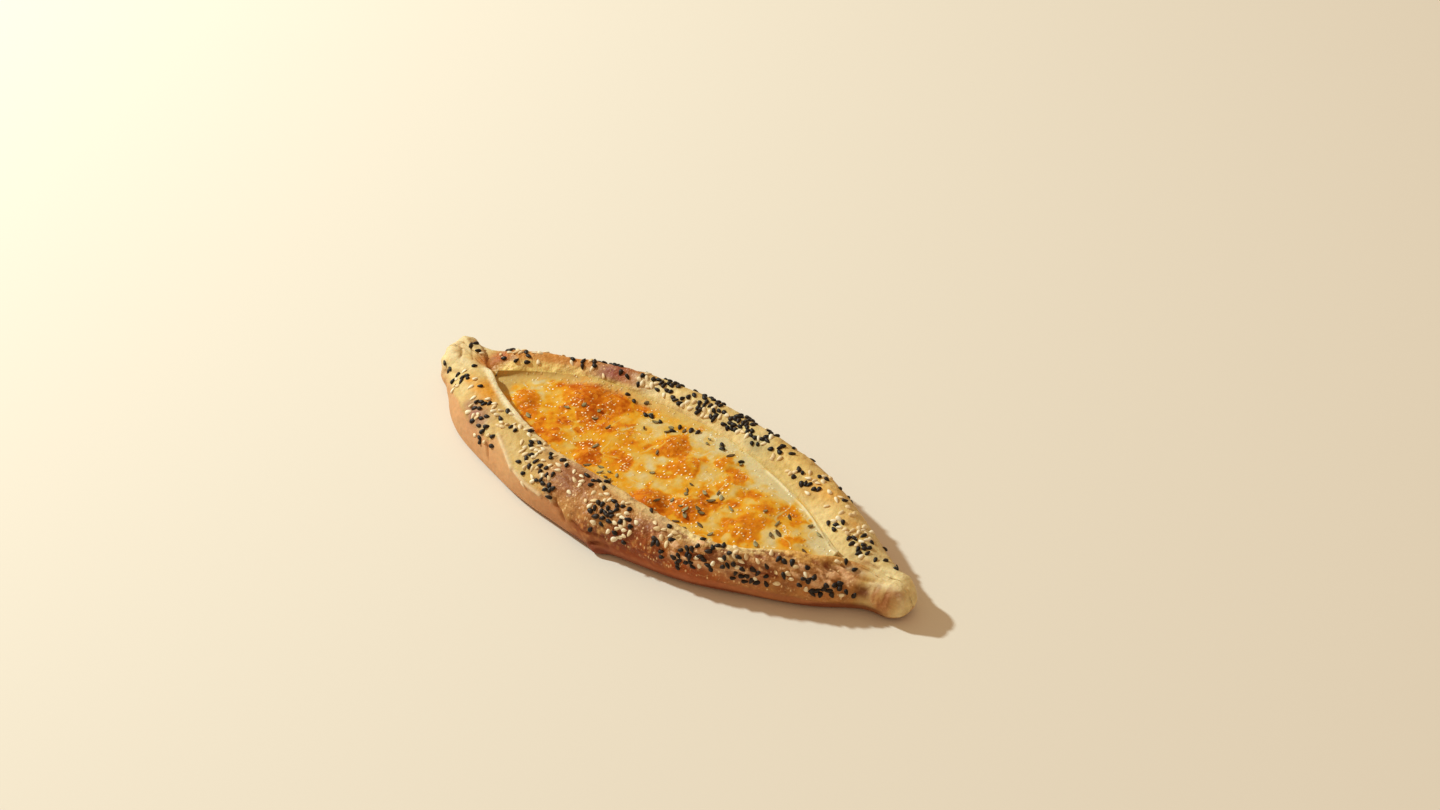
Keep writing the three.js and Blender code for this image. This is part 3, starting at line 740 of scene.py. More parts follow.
def grown(name, bed, tree, values):
    """Runs a tree on a mesh with its named inputs set. The result is an object with a plain mesh."""
    piece = bpy.data.objects.new(name, bed)
    bpy.context.scene.collection.objects.link(piece)
    modifier = piece.modifiers.new(tree.name, "NODES")
    modifier.node_group = tree
    for item in tree.interface.items_tree:
        if item.in_out == "INPUT" and item.name in values:
            modifier[item.identifier] = values[item.name]
    graph = bpy.context.evaluated_depsgraph_get()
    made = bpy.data.meshes.new_from_object(
        piece.evaluated_get(graph), preserve_all_data_layers=True, depsgraph=graph
    )
    piece.modifiers.remove(modifier)
    piece.data = made
    made.name = name
    return piece


def baked_surface_tree():
    """Raises a mesh along its normals by lumps, blisters and grain, each with its size and height in
    metres, as strongly as the mesh's relief layer says."""
    kinds = ("Lump", "Blister", "Grain")
    sizes = {kind + part: "Float" for kind in kinds for part in (" Size", " Height")}
    tree, inputs, end = geometry_tree("baked_surface", {**sizes, "Seed": "Float", "Material": "Material"})
    position = add_node(tree, "GeometryNodeInputPosition").outputs[0]
    heights = []
    for label in ("Lump", "Grain"):
        scale = calc(tree, "DIVIDE", 1.0, inputs[label + " Size"])
        noise = add_node(
            tree,
            "ShaderNodeTexNoise",
            {"Vector": position, "W": inputs["Seed"], "Scale": scale, "Detail": 2.0},
            noise_dimensions="4D",
        )
        level = calc(tree, "SUBTRACT", noise.outputs[0], 0.5)
        heights.append(times(tree, level, inputs[label + " Height"]))
    scale = calc(tree, "DIVIDE", 1.0, inputs["Blister Size"])
    cells = add_node(
        tree,
        "ShaderNodeTexVoronoi",
        {"Vector": position, "W": inputs["Seed"], "Scale": scale, "Smoothness": 0.6},
        voronoi_dimensions="4D",
        feature="SMOOTH_F1",
    )
    dome = calc(tree, "SUBTRACT", 0.5, cells.outputs[0])
    heights.append(times(tree, dome, inputs["Blister Height"]))
    height = calc(tree, "ADD", calc(tree, "ADD", heights[0], heights[1]), heights[2])
    height = times(tree, height, named_layer(tree, "relief"))
    normal = add_node(tree, "GeometryNodeInputNormal").outputs[0]
    values = {"Geometry": inputs["Geometry"], "Offset": scaled(tree, normal, height)}
    raised = add_node(tree, "GeometryNodeSetPosition", values).outputs[0]
    finish_tree(tree, raised, inputs["Material"], end)
    return tree


def surface_noise(tree, size, detail=3.0, roughness=0.55):
    """Even noise in lumps of a size in metres, on the object's own coordinates."""
    place = add_node(tree, "ShaderNodeTexCoord").outputs["Object"]
    values = {"Vector": place, "Scale": 1.0 / size, "Detail": detail, "Roughness": roughness}
    return add_node(tree, "ShaderNodeTexNoise", values).outputs[0]


def ramped(tree, value, low, high, start, end):
    """Maps a value from one range to another, held at both ends."""
    values = {"Value": value, "From Min": low, "From Max": high, "To Min": start, "To Max": end}
    return add_node(tree, "ShaderNodeMapRange", values).outputs[0]


def layer(tree, name):
    return add_node(tree, "ShaderNodeAttribute", attribute_name=name)


def set_inputs(node, values):
    for name, value in values.items():
        node.inputs[name].default_value = value


def new_material(name):
    material = bpy.data.materials.new(name)
    material.use_nodes = True
    return material, material.node_tree, material.node_tree.nodes["Principled BSDF"]


def blended(tree, share, below, above):
    """One colour laid over another by a share. Either may be a socket or three plain numbers."""
    values = {0: share}
    for socket, colour in ((6, below), (7, above)):
        values[socket] = colour if isinstance(colour, bpy.types.NodeSocket) else (*colour, 1.0)
    return add_node(tree, "ShaderNodeMix", values, data_type="RGBA").outputs[2]


# Sizes of the marks that the material adds, in metres, and their colours. The pale dots are painted glints.
MOTTLE_SIZE = 0.0022
SCORCH_MARK_SIZE = 0.0042
PALE_MARK_SIZE = 0.0017
SHEEN_SIZE = 0.006
CRAZING_SIZE = 0.0011
FINE_WRINKLE_SIZE = 0.0028
GLINT_DOT_SIZE = 0.0011
SCORCH_MARK = (0.16, 0.045, 0.012)
PALE_MARK = (0.78, 0.46, 0.20)
GLINT_DOT = (0.95, 0.66, 0.32)


def baked_dough():
    """Matt dough with a shine where it was brushed and browned, mottled by the oven and finely crazed, with
    pale dots painted on as glints.
    """
    material, tree, shader = new_material("baked_dough")
    glaze = layer(tree, "glaze").outputs["Fac"]
    tone = layer(tree, "tone").outputs["Color"]
    mottle = ramped(tree, surface_noise(tree, MOTTLE_SIZE, 5.0, 0.65), 0.3, 0.7, 0.88, 1.1)
    blotch = ramped(tree, surface_noise(tree, SCORCH_MARK_SIZE, 4.0, 0.6), 0.52, 0.66, 0.0, 0.4)
    pale = ramped(tree, surface_noise(tree, PALE_MARK_SIZE, 3.0, 0.6), 0.56, 0.70, 0.0, 0.6)
    colour = blended(tree, times(tree, glaze, blotch), scaled(tree, tone, mottle), SCORCH_MARK)
    colour = blended(tree, times(tree, glaze, pale), colour, PALE_MARK)
    # Small pale dots painted on where the dough shines, standing in for glints.
    place = add_node(tree, "ShaderNodeTexCoord").outputs["Object"]
    drawn_out = add_node(tree, "ShaderNodeVectorMath", {0: place, 1: (1.0, 0.8, 0.5)}, operation="MULTIPLY")
    values = {"Vector": drawn_out.outputs[0], "Scale": 1.0 / GLINT_DOT_SIZE}
    cells = add_node(tree, "ShaderNodeTexVoronoi", values)
    draw = add_node(tree, "ShaderNodeSeparateXYZ", {0: cells.outputs["Color"]}).outputs[0]
    is_glint_dot = calc(tree, "GREATER_THAN", draw, ramped(tree, glaze, 0.45, 1.0, 1.0, 0.62))
    painted_glint_dot = times(tree, is_glint_dot, ramped(tree, cells.outputs["Distance"], 0.15, 0.4, 0.8, 0.0))
    colour = blended(tree, painted_glint_dot, colour, GLINT_DOT)
    tree.links.new(colour, shader.inputs["Base Color"])
    sheen = times(tree, glaze, ramped(tree, surface_noise(tree, SHEEN_SIZE), 0.35, 0.65, 0.6, 1.0))
    tree.links.new(ramped(tree, sheen, 0.0, 1.0, 0.7, 0.38), shader.inputs["Roughness"])
    crazing = surface_noise(tree, CRAZING_SIZE, 4.0, 0.6)
    fine = add_node(tree, "ShaderNodeBump", {"Height": crazing, "Strength": 0.3, "Distance": 0.0004})
    wrinkles = times(tree, glaze, surface_noise(tree, FINE_WRINKLE_SIZE, 3.0, 0.5))
    values = {"Height": wrinkles, "Strength": 0.75, "Distance": 0.0018, "Normal": fine.outputs[0]}
    bump = add_node(tree, "ShaderNodeBump", values)
    tree.links.new(bump.outputs[0], shader.inputs["Normal"])
    set_inputs(
        shader,
        {
            "Subsurface Weight": 0.12,
            "Subsurface Radius": (1.0, 0.45, 0.2),
            "Subsurface Scale": 0.002,
            "Specular IOR Level": 0.18,
        },
    )
    return material


surface_tree = baked_surface_tree()
dough_boat = grown(
    "dough_boat",
    boat_mesh,
    surface_tree,
    {
        "Lump Size": 0.009,
        "Lump Height": 0.0022,
        "Blister Size": 0.0035,
        "Blister Height": 0.0006,
        "Grain Size": 0.0014,
        "Grain Height": 0.0005,
        "Seed": 3.0,
        "Material": baked_dough(),
    },
)
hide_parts("crust")
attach(dough_boat, "root")


# The melted cheese: grated white cheese that ran together in the oven and filled the basin from wall to
# wall. It stays milky at the back, turns to a glossy yellow where the fat has run, and has bubbled up
# into mounds that toasted orange and brown.
CHEESE_LEVEL = 14.6
CHEESE_SLIM_RISE = 1.9
CHEESE_CLIMB = 1.3
CHEESE_CLIMB_POWER = 8
CHEESE_BACK_CLIMB = 1.5
CHEESE_BACK_CLIMB_POWER = 3
CHEESE_DOME = 1.1
CHEESE_LEAST_HALF = 1.5
CHEESE_LEAST_DEPTH = 2
CHEESE_BASE_GAP = 0.4
CHEESE_INTO_WALL = 0.3
CHEESE_STATIONS = 440
CHEESE_STEPS = 170
CHEESE_BASE_STEPS = 6
CHEESE_END_TRIALS = 5001
# Mounds where the cheese bubbled up: x, y, radius and height.
MOUNDS = [
    (-51, 12, 15, 2.8),
    (-38, 18, 9, 1.5),
    (-72, -4, 8, 1.5),
    (-45, -14, 9, 1.0),
    (-27, -17, 7, 1.4),
    (-27, 1, 10, 0.9),
    (-3, 10, 9, 1.6),
    (11, 2, 9, 1.3),
    (22, 13, 6, 1.2),
    (12, -25, 10, 3.2),
    (26, -17, 9, 1.5),
    (33, 3, 8, 1.0),
    (51, -2, 11, 1.5),
    (52, -16, 8, 1.3),
    (73, -9, 7, 1.1),
]
# Toasted patches and milky patches: x, y, reach and strength.
TOASTED = [
    *((-71, -6, 6.5, 0.8), (-75, -2, 4, 0.6), (-66, -9, 5, 0.6)),
    *((-77, 11, 3, 0.7), (-57, -14, 5, 0.6), (-68, 12, 6, 0.4)),
    *((-58, 17, 8, 0.85), (-51, 10, 9, 0.9), (-43, 4, 5.5, 1.25), (-38, 15, 8.5, 0.7), (-47, 20, 7, 0.75)),
    *((-54, 20, 4, 1.05), (-48, 3, 5, 0.85), (-32, 23, 4, 0.8), (-46, -17, 5, 0.55), (-50, -7, 10, 0.35)),
    *((-38, -4, 8, 0.35), (-30, 3, 6, 0.4), (-26, 6, 6, 0.55), (-27, -17, 6.5, 0.85), (-23, -20, 4.5, 0.9)),
    *((-32, -13, 4, 0.6), (-12, -9, 6, 0.6), (-17, -7, 4, 0.55), (-8, -14, 4, 0.45), (-18, 0, 5, 0.45)),
    *((-10, 3, 4, 0.5), (-2, 10, 6.5, 0.7), (1, 5, 6, 0.7), (-3, 15, 4, 0.55), (1, 26, 3.5, 0.55)),
    *((13, 9, 4.5, 0.6), (9, -1, 6, 0.65), (6, -7, 4, 0.55), (14, 0, 5, 0.5), (22, 13, 5, 0.65)),
    *((27, 9, 4, 0.45), (34, 7, 6, 0.5), (39, 9, 3.5, 0.4), (30, 0, 5, 0.5), (27, -6, 4.5, 0.55)),
    *((12, -24, 7, 0.95), (7, -25, 5, 0.9), (17, -26, 5, 0.9), (20, -20, 4, 0.5), (28, -19, 6.5, 1.0)),
    *((30, -22, 5, 0.9), (33, -13, 5.5, 0.75), (41, -8, 4.5, 0.5), (44, 5, 4.5, 0.4), (46, -15, 4, 0.5)),
    *((48, -21, 5.5, 0.6), (50, -2, 6, 0.45), (53, -10, 7, 0.65), (57, -15, 5, 0.75), (57, 0, 7.5, 0.5)),
    *((60, 4, 5, 0.45), (67, 2, 6, 0.42), (72, -9, 5.5, 0.55), (75, -6, 3, 0.45)),
]
MILKY = [
    *((-73, 4, 2.5, 1.0), (-76, 7, 2.5, 1.0), (-69, 1, 2.5, 0.9), (-63, 6, 4, 0.5), (-37, -15, 4, 0.6)),
    *((-18, 18, 6, 0.9), (-12, 15, 6, 0.9), (-5, -16, 4, 0.5), (1, -5, 4, 0.8), (2, -17, 5, 0.8)),
    *((5, 2, 3, 0.8), (3, 20, 6, 0.9), (10, -14, 5, 0.45), (15, 22, 9, 1.0), (21, 2, 3.5, 0.6)),
    *((24, -12, 4, 0.4), (30, 20, 9, 1.0), (33, -6, 4, 0.8), (37, -2, 3, 0.7), (40, -18, 4, 0.6)),
    *((40, 15, 7, 1.0), (45, -1, 4, 0.5), (48, 13, 5, 0.8), (55, 14, 5, 0.7), (60, -12, 3, 0.5)),
    *((64, -10, 4, 0.8), (66, -15, 4, 0.7), (71, -1, 3, 0.6), (79, -2, 8, 1.0), (84, -6, 5, 0.9)),
]
MILK = (0.71, 0.58, 0.30)
BUTTER = (0.74, 0.46, 0.095)
YELLOW = (0.76, 0.345, 0.016)
AMBER = (0.70, 0.23, 0.008)
TOAST = (0.57, 0.13, 0.004)
SCORCH = (0.45, 0.075, 0.003)
CHEESE_STEPS_OF_TOAST = [-0.4, 0.0, 0.25, 0.55, 0.9, 1.25]
CHEESE_TONES = np.array([MILK, BUTTER, YELLOW, AMBER, TOAST, SCORCH])
# Thin cheese lets the dough show along the wall of the blunt half, darkened to olive as painted shade, and
# a raised bead of clear fat edges the back, its pale colour a painted glint.
THIN_CHEESE_AND_SHADE = (0.66, 0.45, 0.15)
BARE_DOUGH = (0.56, 0.37, 0.12)
FAT_BEAD_GLINT = (0.92, 0.80, 0.50)
FAT_BEAD_RISE = 0.5


def cheese_top(x, y):
    across = (y - opening_y(x)) / opening_half(x)
    height = CHEESE_DOME * (1 - np.minimum(across * across, 1)) * ease(raw_opening(x), 0, 20)
    for mound_x, mound_y, radius, rise in MOUNDS:
        share = np.clip(((x - mound_x) ** 2 + (y - mound_y) ** 2) / radius**2, 0, 1)
        height = height + rise * (1 - share) ** 2
    climb = CHEESE_CLIMB * np.minimum(np.abs(across), 1) ** CHEESE_CLIMB_POWER * ease(-x, -30, 30)
    climb = climb + CHEESE_BACK_CLIMB * np.clip(across, 0, 1) ** CHEESE_BACK_CLIMB_POWER * ease(-x, 25, 55)
    return CHEESE_LEVEL + CHEESE_SLIM_RISE * ease(x, -60, 60) + climb + height


def wall_y(x, side, z):
    """Where one side's basin wall stands at a height, a little way into the dough."""
    lip_height = crest_height(x, side) - lip_drop(x, side)
    depth = np.clip((lip_height - z) / (lip_height - floor_height(x)), 0, 1)
    return opening_y(x) + side * (opening_half(x) * mix(1, FLOOR_SHARE, depth) + CHEESE_INTO_WALL)


def cheese_rings():
    """Sections of the cheese: its flat base from front to back, then its top from back to front."""
    reach = np.linspace(BLUNT_END_X, SLIM_END_X, CHEESE_END_TRIALS)
    filled = reach[raw_opening(reach) > CHEESE_LEAST_HALF]
    x = np.linspace(filled[0], filled[-1], CHEESE_STATIONS)[:, None]
    edges = {side: wall_y(x, side, cheese_top(x, wall_y(x, side, CHEESE_LEVEL))) for side in (FRONT, BACK)}
    base = {side: wall_y(x, side, FLOOR_HEIGHT) - side * 2 * CHEESE_INTO_WALL for side in (FRONT, BACK)}
    base_y = mix(base[FRONT], base[BACK], np.linspace(0, 1, CHEESE_BASE_STEPS))
    base_z = np.minimum(floor_height(x), CHEESE_LEVEL - CHEESE_LEAST_DEPTH) + CHEESE_BASE_GAP + 0 * base_y
    top_y = mix(edges[BACK], edges[FRONT], np.linspace(0, 1, CHEESE_STEPS))
    top_z = cheese_top(x + 0 * top_y, top_y)
    y = np.hstack([base_y, top_y])
    z = np.hstack([base_z, top_z])
    return np.stack([x + 0 * y, y, z], axis=-1)


cheese_sections = cheese_rings()
cheese_mesh = loft("melted_cheese", cheese_sections, cheese_sections[[0, -1]].mean(axis=1))
cheese_points = points_of(cheese_mesh)
cheese_is_top = np.tile(np.arange(cheese_sections.shape[1]) >= CHEESE_BASE_STEPS, len(cheese_sections))
cheese_is_top = np.concatenate([cheese_is_top, [False, False]])


def patch_sum(points, patches):
    """The strength of a list of round patches at each point, seen from above."""
    total = np.zeros(len(points))
    for x, y, reach, strength in patches:
        gap = np.hypot(points[:, 0] - x, points[:, 1] - y)
        total = np.maximum(total, strength * np.exp(-((gap / reach) ** 2)))
    return total


def toast_level(points):
    """How far the cheese has gone from milky, below zero, to scorched, above one."""
    flat = points * (1, 1, 0)
    warped = points + 3.0 * np.column_stack([cloud(flat, 7, 31), cloud(flat, 7, 32), 0 * flat[:, 0]])
    warped += 1.2 * np.column_stack([cloud(flat, 2.6, 33), cloud(flat, 2.6, 34), 0 * flat[:, 0]])
    toasted = patch_sum(warped, TOASTED)
    milky = patch_sum(warped, MILKY)
    unevenness = 0.2 * cloud(flat, 5, 35) + 0.17 * cloud(flat, 2.4, 36) + 0.08 * cloud(flat, 1.2, 37)
    strings = 1 - ease(np.abs(cloud(flat, 7, 38)), 0.02, 0.1)
    unevenness -= 0.35 * strings * ease(cloud(flat, 9, 39), -0.1, 0.3)
    ground = mix(0.34, 0.18, ease(points[:, 0], -40, 5)) + 0.04 * ease(points[:, 0], 20, 40)
    ground = ground - 0.2 * ease(-points[:, 0], 60, 74)
    browned = mix(0.5, 0.36, ease(points[:, 0], 25, 45)) * ease(toasted + 0.5 * unevenness, 0.24, 0.46)
    browned += 0.45 * ease(toasted, 0.5, 1.2)
    return ground + browned - 0.6 * milky * (1 - ease(toasted, 0.35, 0.75)) + unevenness


cheese_x, cheese_y = cheese_points[:, 0], cheese_points[:, 1]
back_gap = opening_y(cheese_x) + opening_half(cheese_x) - cheese_y
edge_gap = opening_half(cheese_x) - np.abs(cheese_y - opening_y(cheese_x))
cheese_toast = toast_level(cheese_points) - 0.35 * (1 - ease(back_gap, 3, 9)) * ease(cheese_x, 0, 30)
cheese_tone = toned(cheese_toast, CHEESE_STEPS_OF_TOAST, CHEESE_TONES)
# Olive along the back wall of the blunt half: partly thin cheese over dough, partly painted shade.
thin_cheese_and_shade = 0.85 * (1 - ease(back_gap + 1.5 * cloud(cheese_points, 4, 41), 2, 6.5))
thin_cheese_and_shade = thin_cheese_and_shade * (1 - ease(cheese_x, -15, 15))
cheese_tone = laid_over(cheese_tone, THIN_CHEESE_AND_SHADE, thin_cheese_and_shade)
bare_dough = 1 - ease(cheese_x + 2 * cloud(cheese_points, 4, 42), -85, -79)
cheese_tone = laid_over(cheese_tone, BARE_DOUGH, bare_dough)
fat_bead_and_glint = np.exp(-(((back_gap - 1.6) / 0.7) ** 2)) * ease(cheese_x, 28, 38) * cheese_is_top
fat_bead_and_glint *= ease(cloud(cheese_points, 5, 43), -0.5, 0.2)
# The bead is raised for real; its pale colour is a painted glint along the back edge of the cheese.
cheese_tone = laid_over(cheese_tone, FAT_BEAD_GLINT, 0.8 * fat_bead_and_glint)
pushed(cheese_mesh, FAT_BEAD_RISE * fat_bead_and_glint)
paint(cheese_mesh, "tone", cheese_tone)
paint(cheese_mesh, "toast", cheese_toast)
paint(cheese_mesh, "dry", np.maximum(bare_dough, 0.6 * thin_cheese_and_shade))
rough = cheese_is_top * ease(edge_gap, 0, 4) * mix(0.2, 1.0, ease(cheese_toast, 0.2, 0.8))
paint(cheese_mesh, "relief", rough * (1 - bare_dough))


# Sizes of what the material adds, in metres, and its colours. The pale dots and lines are painted glints.
CHEESE_MOTTLE_SIZE = 0.003
BUBBLE_AND_GLINT_SIZE = 0.00125
GLINT_CROWD_SIZE = 0.007
GLINT_LINE_SIZE = 0.004
GLINT_LINE_PLACE_SIZE = 0.006
CHEESE_WAVE_SIZE = 0.0034
BLISTER_GOLD = (0.86, 0.34, 0.02)
GLINT_ON_MILK = (1.0, 0.92, 0.66)
GLINT_ON_TOAST = (1.0, 0.74, 0.34)


def melted_cheese_material():
    """Oily melted cheese: smooth where pale, blistered where it has toasted, with tiny bubbles in its bump
    and pale dots and lines painted on as glints.
    """
    material, tree, shader = new_material("melted_cheese")
    toast = layer(tree, "toast").outputs["Fac"]
    mottle = ramped(tree, surface_noise(tree, CHEESE_MOTTLE_SIZE, 3.0, 0.55), 0.3, 0.7, 0.94, 1.05)
    colour = scaled(tree, layer(tree, "tone").outputs["Color"], mottle)
    place = add_node(tree, "ShaderNodeTexCoord").outputs["Object"]
    values = {"Vector": place, "Scale": 1.0 / BUBBLE_AND_GLINT_SIZE}
    cells = add_node(tree, "ShaderNodeTexVoronoi", values, voronoi_dimensions="2D")
    draw, shade, _ = add_node(tree, "ShaderNodeSeparateXYZ", {0: cells.outputs["Color"]}).outputs
    blistered = ramped(tree, toast, 0.35, 0.8, 0.0, 0.5)
    blister = times(tree, blistered, ramped(tree, shade, 0.45, 1.0, 0.0, 1.0))
    colour = blended(tree, blister, colour, BLISTER_GOLD)
    is_blown_or_glinting = calc(tree, "GREATER_THAN", draw, ramped(tree, toast, 0.0, 0.85, 0.94, 0.74))
    bubble_and_glint = times(tree, is_blown_or_glinting, ramped(tree, cells.outputs["Distance"], 0.16, 0.48, 1.0, 0.0))
    dry = layer(tree, "dry").outputs["Fac"]
    wet = ramped(tree, dry, 0.0, 0.5, 1.0, 0.0)
    # Thin pale lines along the crests of a noise, painted on as glints where the cheese is wet.
    glint_line_noise = surface_noise(tree, GLINT_LINE_SIZE, 2.0, 0.5)
    off_crest = calc(tree, "ABSOLUTE", calc(tree, "SUBTRACT", glint_line_noise, 0.5))
    painted_glint_lines = times(tree, ramped(tree, off_crest, 0.003, 0.014, 0.8, 0.0), wet)
    has_glint_lines = ramped(tree, surface_noise(tree, GLINT_LINE_PLACE_SIZE, 2.0), 0.58, 0.64, 0.0, 1.0)
    painted_glint_lines = times(tree, painted_glint_lines, has_glint_lines)
    # Pale dots on some bubbles, crowded in places, painted on as glints.
    glint_crowd = ramped(tree, surface_noise(tree, GLINT_CROWD_SIZE, 2.0), 0.44, 0.58, 0.2, 1.0)
    painted_glint_speck = times(tree, ramped(tree, bubble_and_glint, 0.4, 0.8, 0.0, 1.0), times(tree, wet, glint_crowd))
    glint = blended(tree, ramped(tree, toast, 0.3, 0.8, 0.0, 1.0), GLINT_ON_MILK, GLINT_ON_TOAST)
    colour = blended(tree, calc(tree, "MAXIMUM", painted_glint_speck, painted_glint_lines), colour, glint)
    tree.links.new(colour, shader.inputs["Base Color"])
    roughness = calc(tree, "ADD", ramped(tree, toast, 0.0, 1.0, 0.16, 0.28), times(tree, dry, 0.4))
    tree.links.new(roughness, shader.inputs["Roughness"])
    tree.links.new(ramped(tree, bubble_and_glint, 0.2, 0.8, 0.09, 0.9), shader.inputs["Specular IOR Level"])
    blown = add_node(tree, "ShaderNodeBump", {"Height": bubble_and_glint, "Strength": 0.7, "Distance": 0.0003})
    waves = surface_noise(tree, CHEESE_WAVE_SIZE, 2.0)
    values = {"Height": waves, "Strength": 0.4, "Distance": 0.0010, "Normal": blown.outputs[0]}
    bump = add_node(tree, "ShaderNodeBump", values)
    tree.links.new(bump.outputs[0], shader.inputs["Normal"])
    set_inputs(
        shader,
        {"Subsurface Weight": 0.1, "Subsurface Radius": (1.0, 0.4, 0.1), "Subsurface Scale": 0.002},
    )
    return material


melted_cheese = grown(
    "melted_cheese",
    cheese_mesh,
    surface_tree,
    {
        "Lump Size": 0.006,
        "Lump Height": 0.0015,
        "Blister Size": 0.0026,
        "Blister Height": 0.0007,
        "Grain Size": 0.0016,
        "Grain Height": 0.0004,
        "Seed": 8.0,
        "Material": melted_cheese_material(),
    },
)
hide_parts("cheese")
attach(melted_cheese, "root")


# The seeds: white and black seeds strewn by hand over the wet dough, where they stuck in clusters and
# baked on, with a few black ones spilt onto the cheese. Each is a drop-shaped grain about 3 mm long, lying
# flat and a little sunk in what it lies on.
SEED_SPACING = 1.7
SEED_DRAW = 5
SIZE_DRAW = 7
TINT_DRAW = 9
TRIALS_EACH = 50
OFF_THE_TOP = 50
SEED_STREAK_SIZE = 0.0008
SEED_GRAIN_SIZE = 0.0005
# Clusters of seeds: place, reach, and how many white and black seeds lie there.
SEED_CLUSTERS = [
    ((-114, -8, 15), 3, 0, 3),
    ((-102, -12, 19), 4, 2, 5),
    ((-100, -17, 17), 3, 3, 1),
    ((-88, -15, 21), 4, 2, 2),
    ((-75, -21, 21), 3.5, 3, 1),
    ((-79, -27, 20), 4.5, 6, 7),
    ((-70, -32, 18), 4, 3, 6),
    ((-62, -35, 18), 2.5, 0, 2),
    ((-66, -25, 21), 3.5, 7, 2),
    ((-59, -27, 21), 3, 4, 2),
    ((-54, -24, 21), 3, 3, 1),
    ((-44, -30, 21), 4.5, 10, 4),
    ((-39, -36, 20), 4.5, 9, 5),
    ((-29, -33, 21), 4.5, 6, 3),
    ((-31, -41, 19), 3.5, 3, 6),
    ((-24, -43, 18), 3.5, 0, 5),
    ((-15, -35, 22), 3, 4, 1),
    ((-6, -35, 21), 4, 6, 4),
    ((3, -41, 20), 4.5, 5, 14),
    ((8, -38, 21), 4, 3, 6),
    ((13, -43, 18), 4.5, 12, 5),
    ((31, -36, 21), 4, 5, 1),
    ((33, -41, 18), 4, 2, 6),
    ((46, -38, 17), 4, 2, 11),
    ((43, -41, 12), 4, 0, 7),
    ((52, -37, 15), 3, 1, 3),
    ((59, -33, 17), 3.5, 3, 6),
    ((63, -28, 20), 4, 4, 1),
    ((71, -30, 12), 4.5, 2, 9),
    ((66, -33, 10), 4, 1, 4),
    ((78, -22, 18), 4, 4, 4),
    ((88, -19, 15), 4, 3, 5),
    ((97, -16, 11), 4, 1, 9),
    ((92, -20, 8), 3, 0, 4),
    ((94, -5, 17), 2.5, 1, 2),
    ((-108, 4, 19), 3, 0, 3),
    ((-96, 11, 20), 3.5, 2, 5),
    ((-86, 12, 21), 4, 8, 4),
    ((-73, 22, 21), 3, 1, 1),
    ((-61, 26, 21), 4, 3, 7),
    ((-52, 31, 20), 3.5, 0, 4),
    ((-36, 29, 21), 3, 5, 1),
    ((-30, 32, 21), 3.5, 1, 8),
    ((-24, 35, 21), 3.5, 0, 8),
    ((-15, 29, 19), 3.5, 2, 6),
    ((-7, 36, 21), 3.5, 1, 8),
    ((-7, 32, 21), 3, 3, 4),
    ((-1, 37, 21), 3, 0, 5),
    ((-1, 32, 21), 3.5, 4, 5),
    ((13, 35, 21), 3.6, 1, 16),
    ((11, 31, 20), 3, 2, 7),
    ((19, 33, 21), 3, 1, 5),
    ((27, 35, 21), 3, 2, 3),
    ((27, 30, 21), 3, 2, 5),
    ((37, 25, 21), 4, 3, 5),
    ((51, 22, 20), 4, 4, 5),
    ((60, 22, 20), 4, 7, 5),
    ((76, 17, 19), 4, 6, 1),
    ((80, 10, 18), 3.5, 3, 4),
    ((89, 10, 17), 4, 12, 3),
    ((94, 7, 16), 3, 3, 8),
    ((103, 9, 14), 2.5, 0, 1),
    ((110, 7, 13), 2.5, 0, 1),
]
# More clusters lie half-way up the outer side of the back.
BACK_CLUSTERS = [
    ((-92, 20, 11), 5, 3, 4),
    ((-68, 34, 11), 5, 4, 6),
    ((-40, 41, 11), 5, 3, 8),
    ((-12, 45, 11), 6, 4, 10),
    ((16, 45, 11), 6, 3, 10),
    ((44, 38, 11), 5, 5, 7),
    ((70, 29, 10), 5, 6, 5),
]
# Seeds that fell away from the clusters, white and black.
LOOSE_SEEDS = (8, 14)
# Black seeds spilt onto the cheese: x and y.
SPILT_SEEDS = [
    *((-34, 22), (-25, 18.5), (-22, 19), (-17, 18.6), (-9, 17), (-8, 20.6)),
    *((-3, 21.6), (0, 22.6), (26, 18), (15, 20), (-39, 24), (13, 22)),
]


def picked(points, weight, count, spacing, taken, draw):
    """Picks some of the points by weight, none nearer than a spacing to those that were taken before."""
    trials = min(TRIALS_EACH * count, np.count_nonzero(weight))
    order = draw.choice(len(points), trials, False, weight / weight.sum())
    left = count
    for index in order:
        if left > 0 and all(np.linalg.norm(points[index] - points[other]) > spacing for other in taken):
            taken.append(index)
            left -= 1


def strewn_seeds(points, may_hold):
    """The points where seeds lie, and whether each seed is a black one."""
    draw = np.random.default_rng(SEED_DRAW)
    taken = []
    is_black = []
    spread = 0.0 * may_hold
    for place, reach, white, black in SEED_CLUSTERS + BACK_CLUSTERS:
        gap = np.linalg.norm(points - place, axis=1)
        near = np.exp(-((gap / reach) ** 2)) * may_hold
        spread = np.maximum(spread, np.exp(-((gap / (3 * reach)) ** 2)))
        for count, kind in ((black, True), (white, False)):
            picked(points, near, count, SEED_SPACING, taken, draw)
            is_black += [kind] * (len(taken) - len(is_black))
    for count, kind in zip(LOOSE_SEEDS, (False, True)):
        picked(points, spread * may_hold, count, SEED_SPACING, taken, draw)
        is_black += [kind] * (len(taken) - len(is_black))
    return np.array(taken), np.array(is_black)


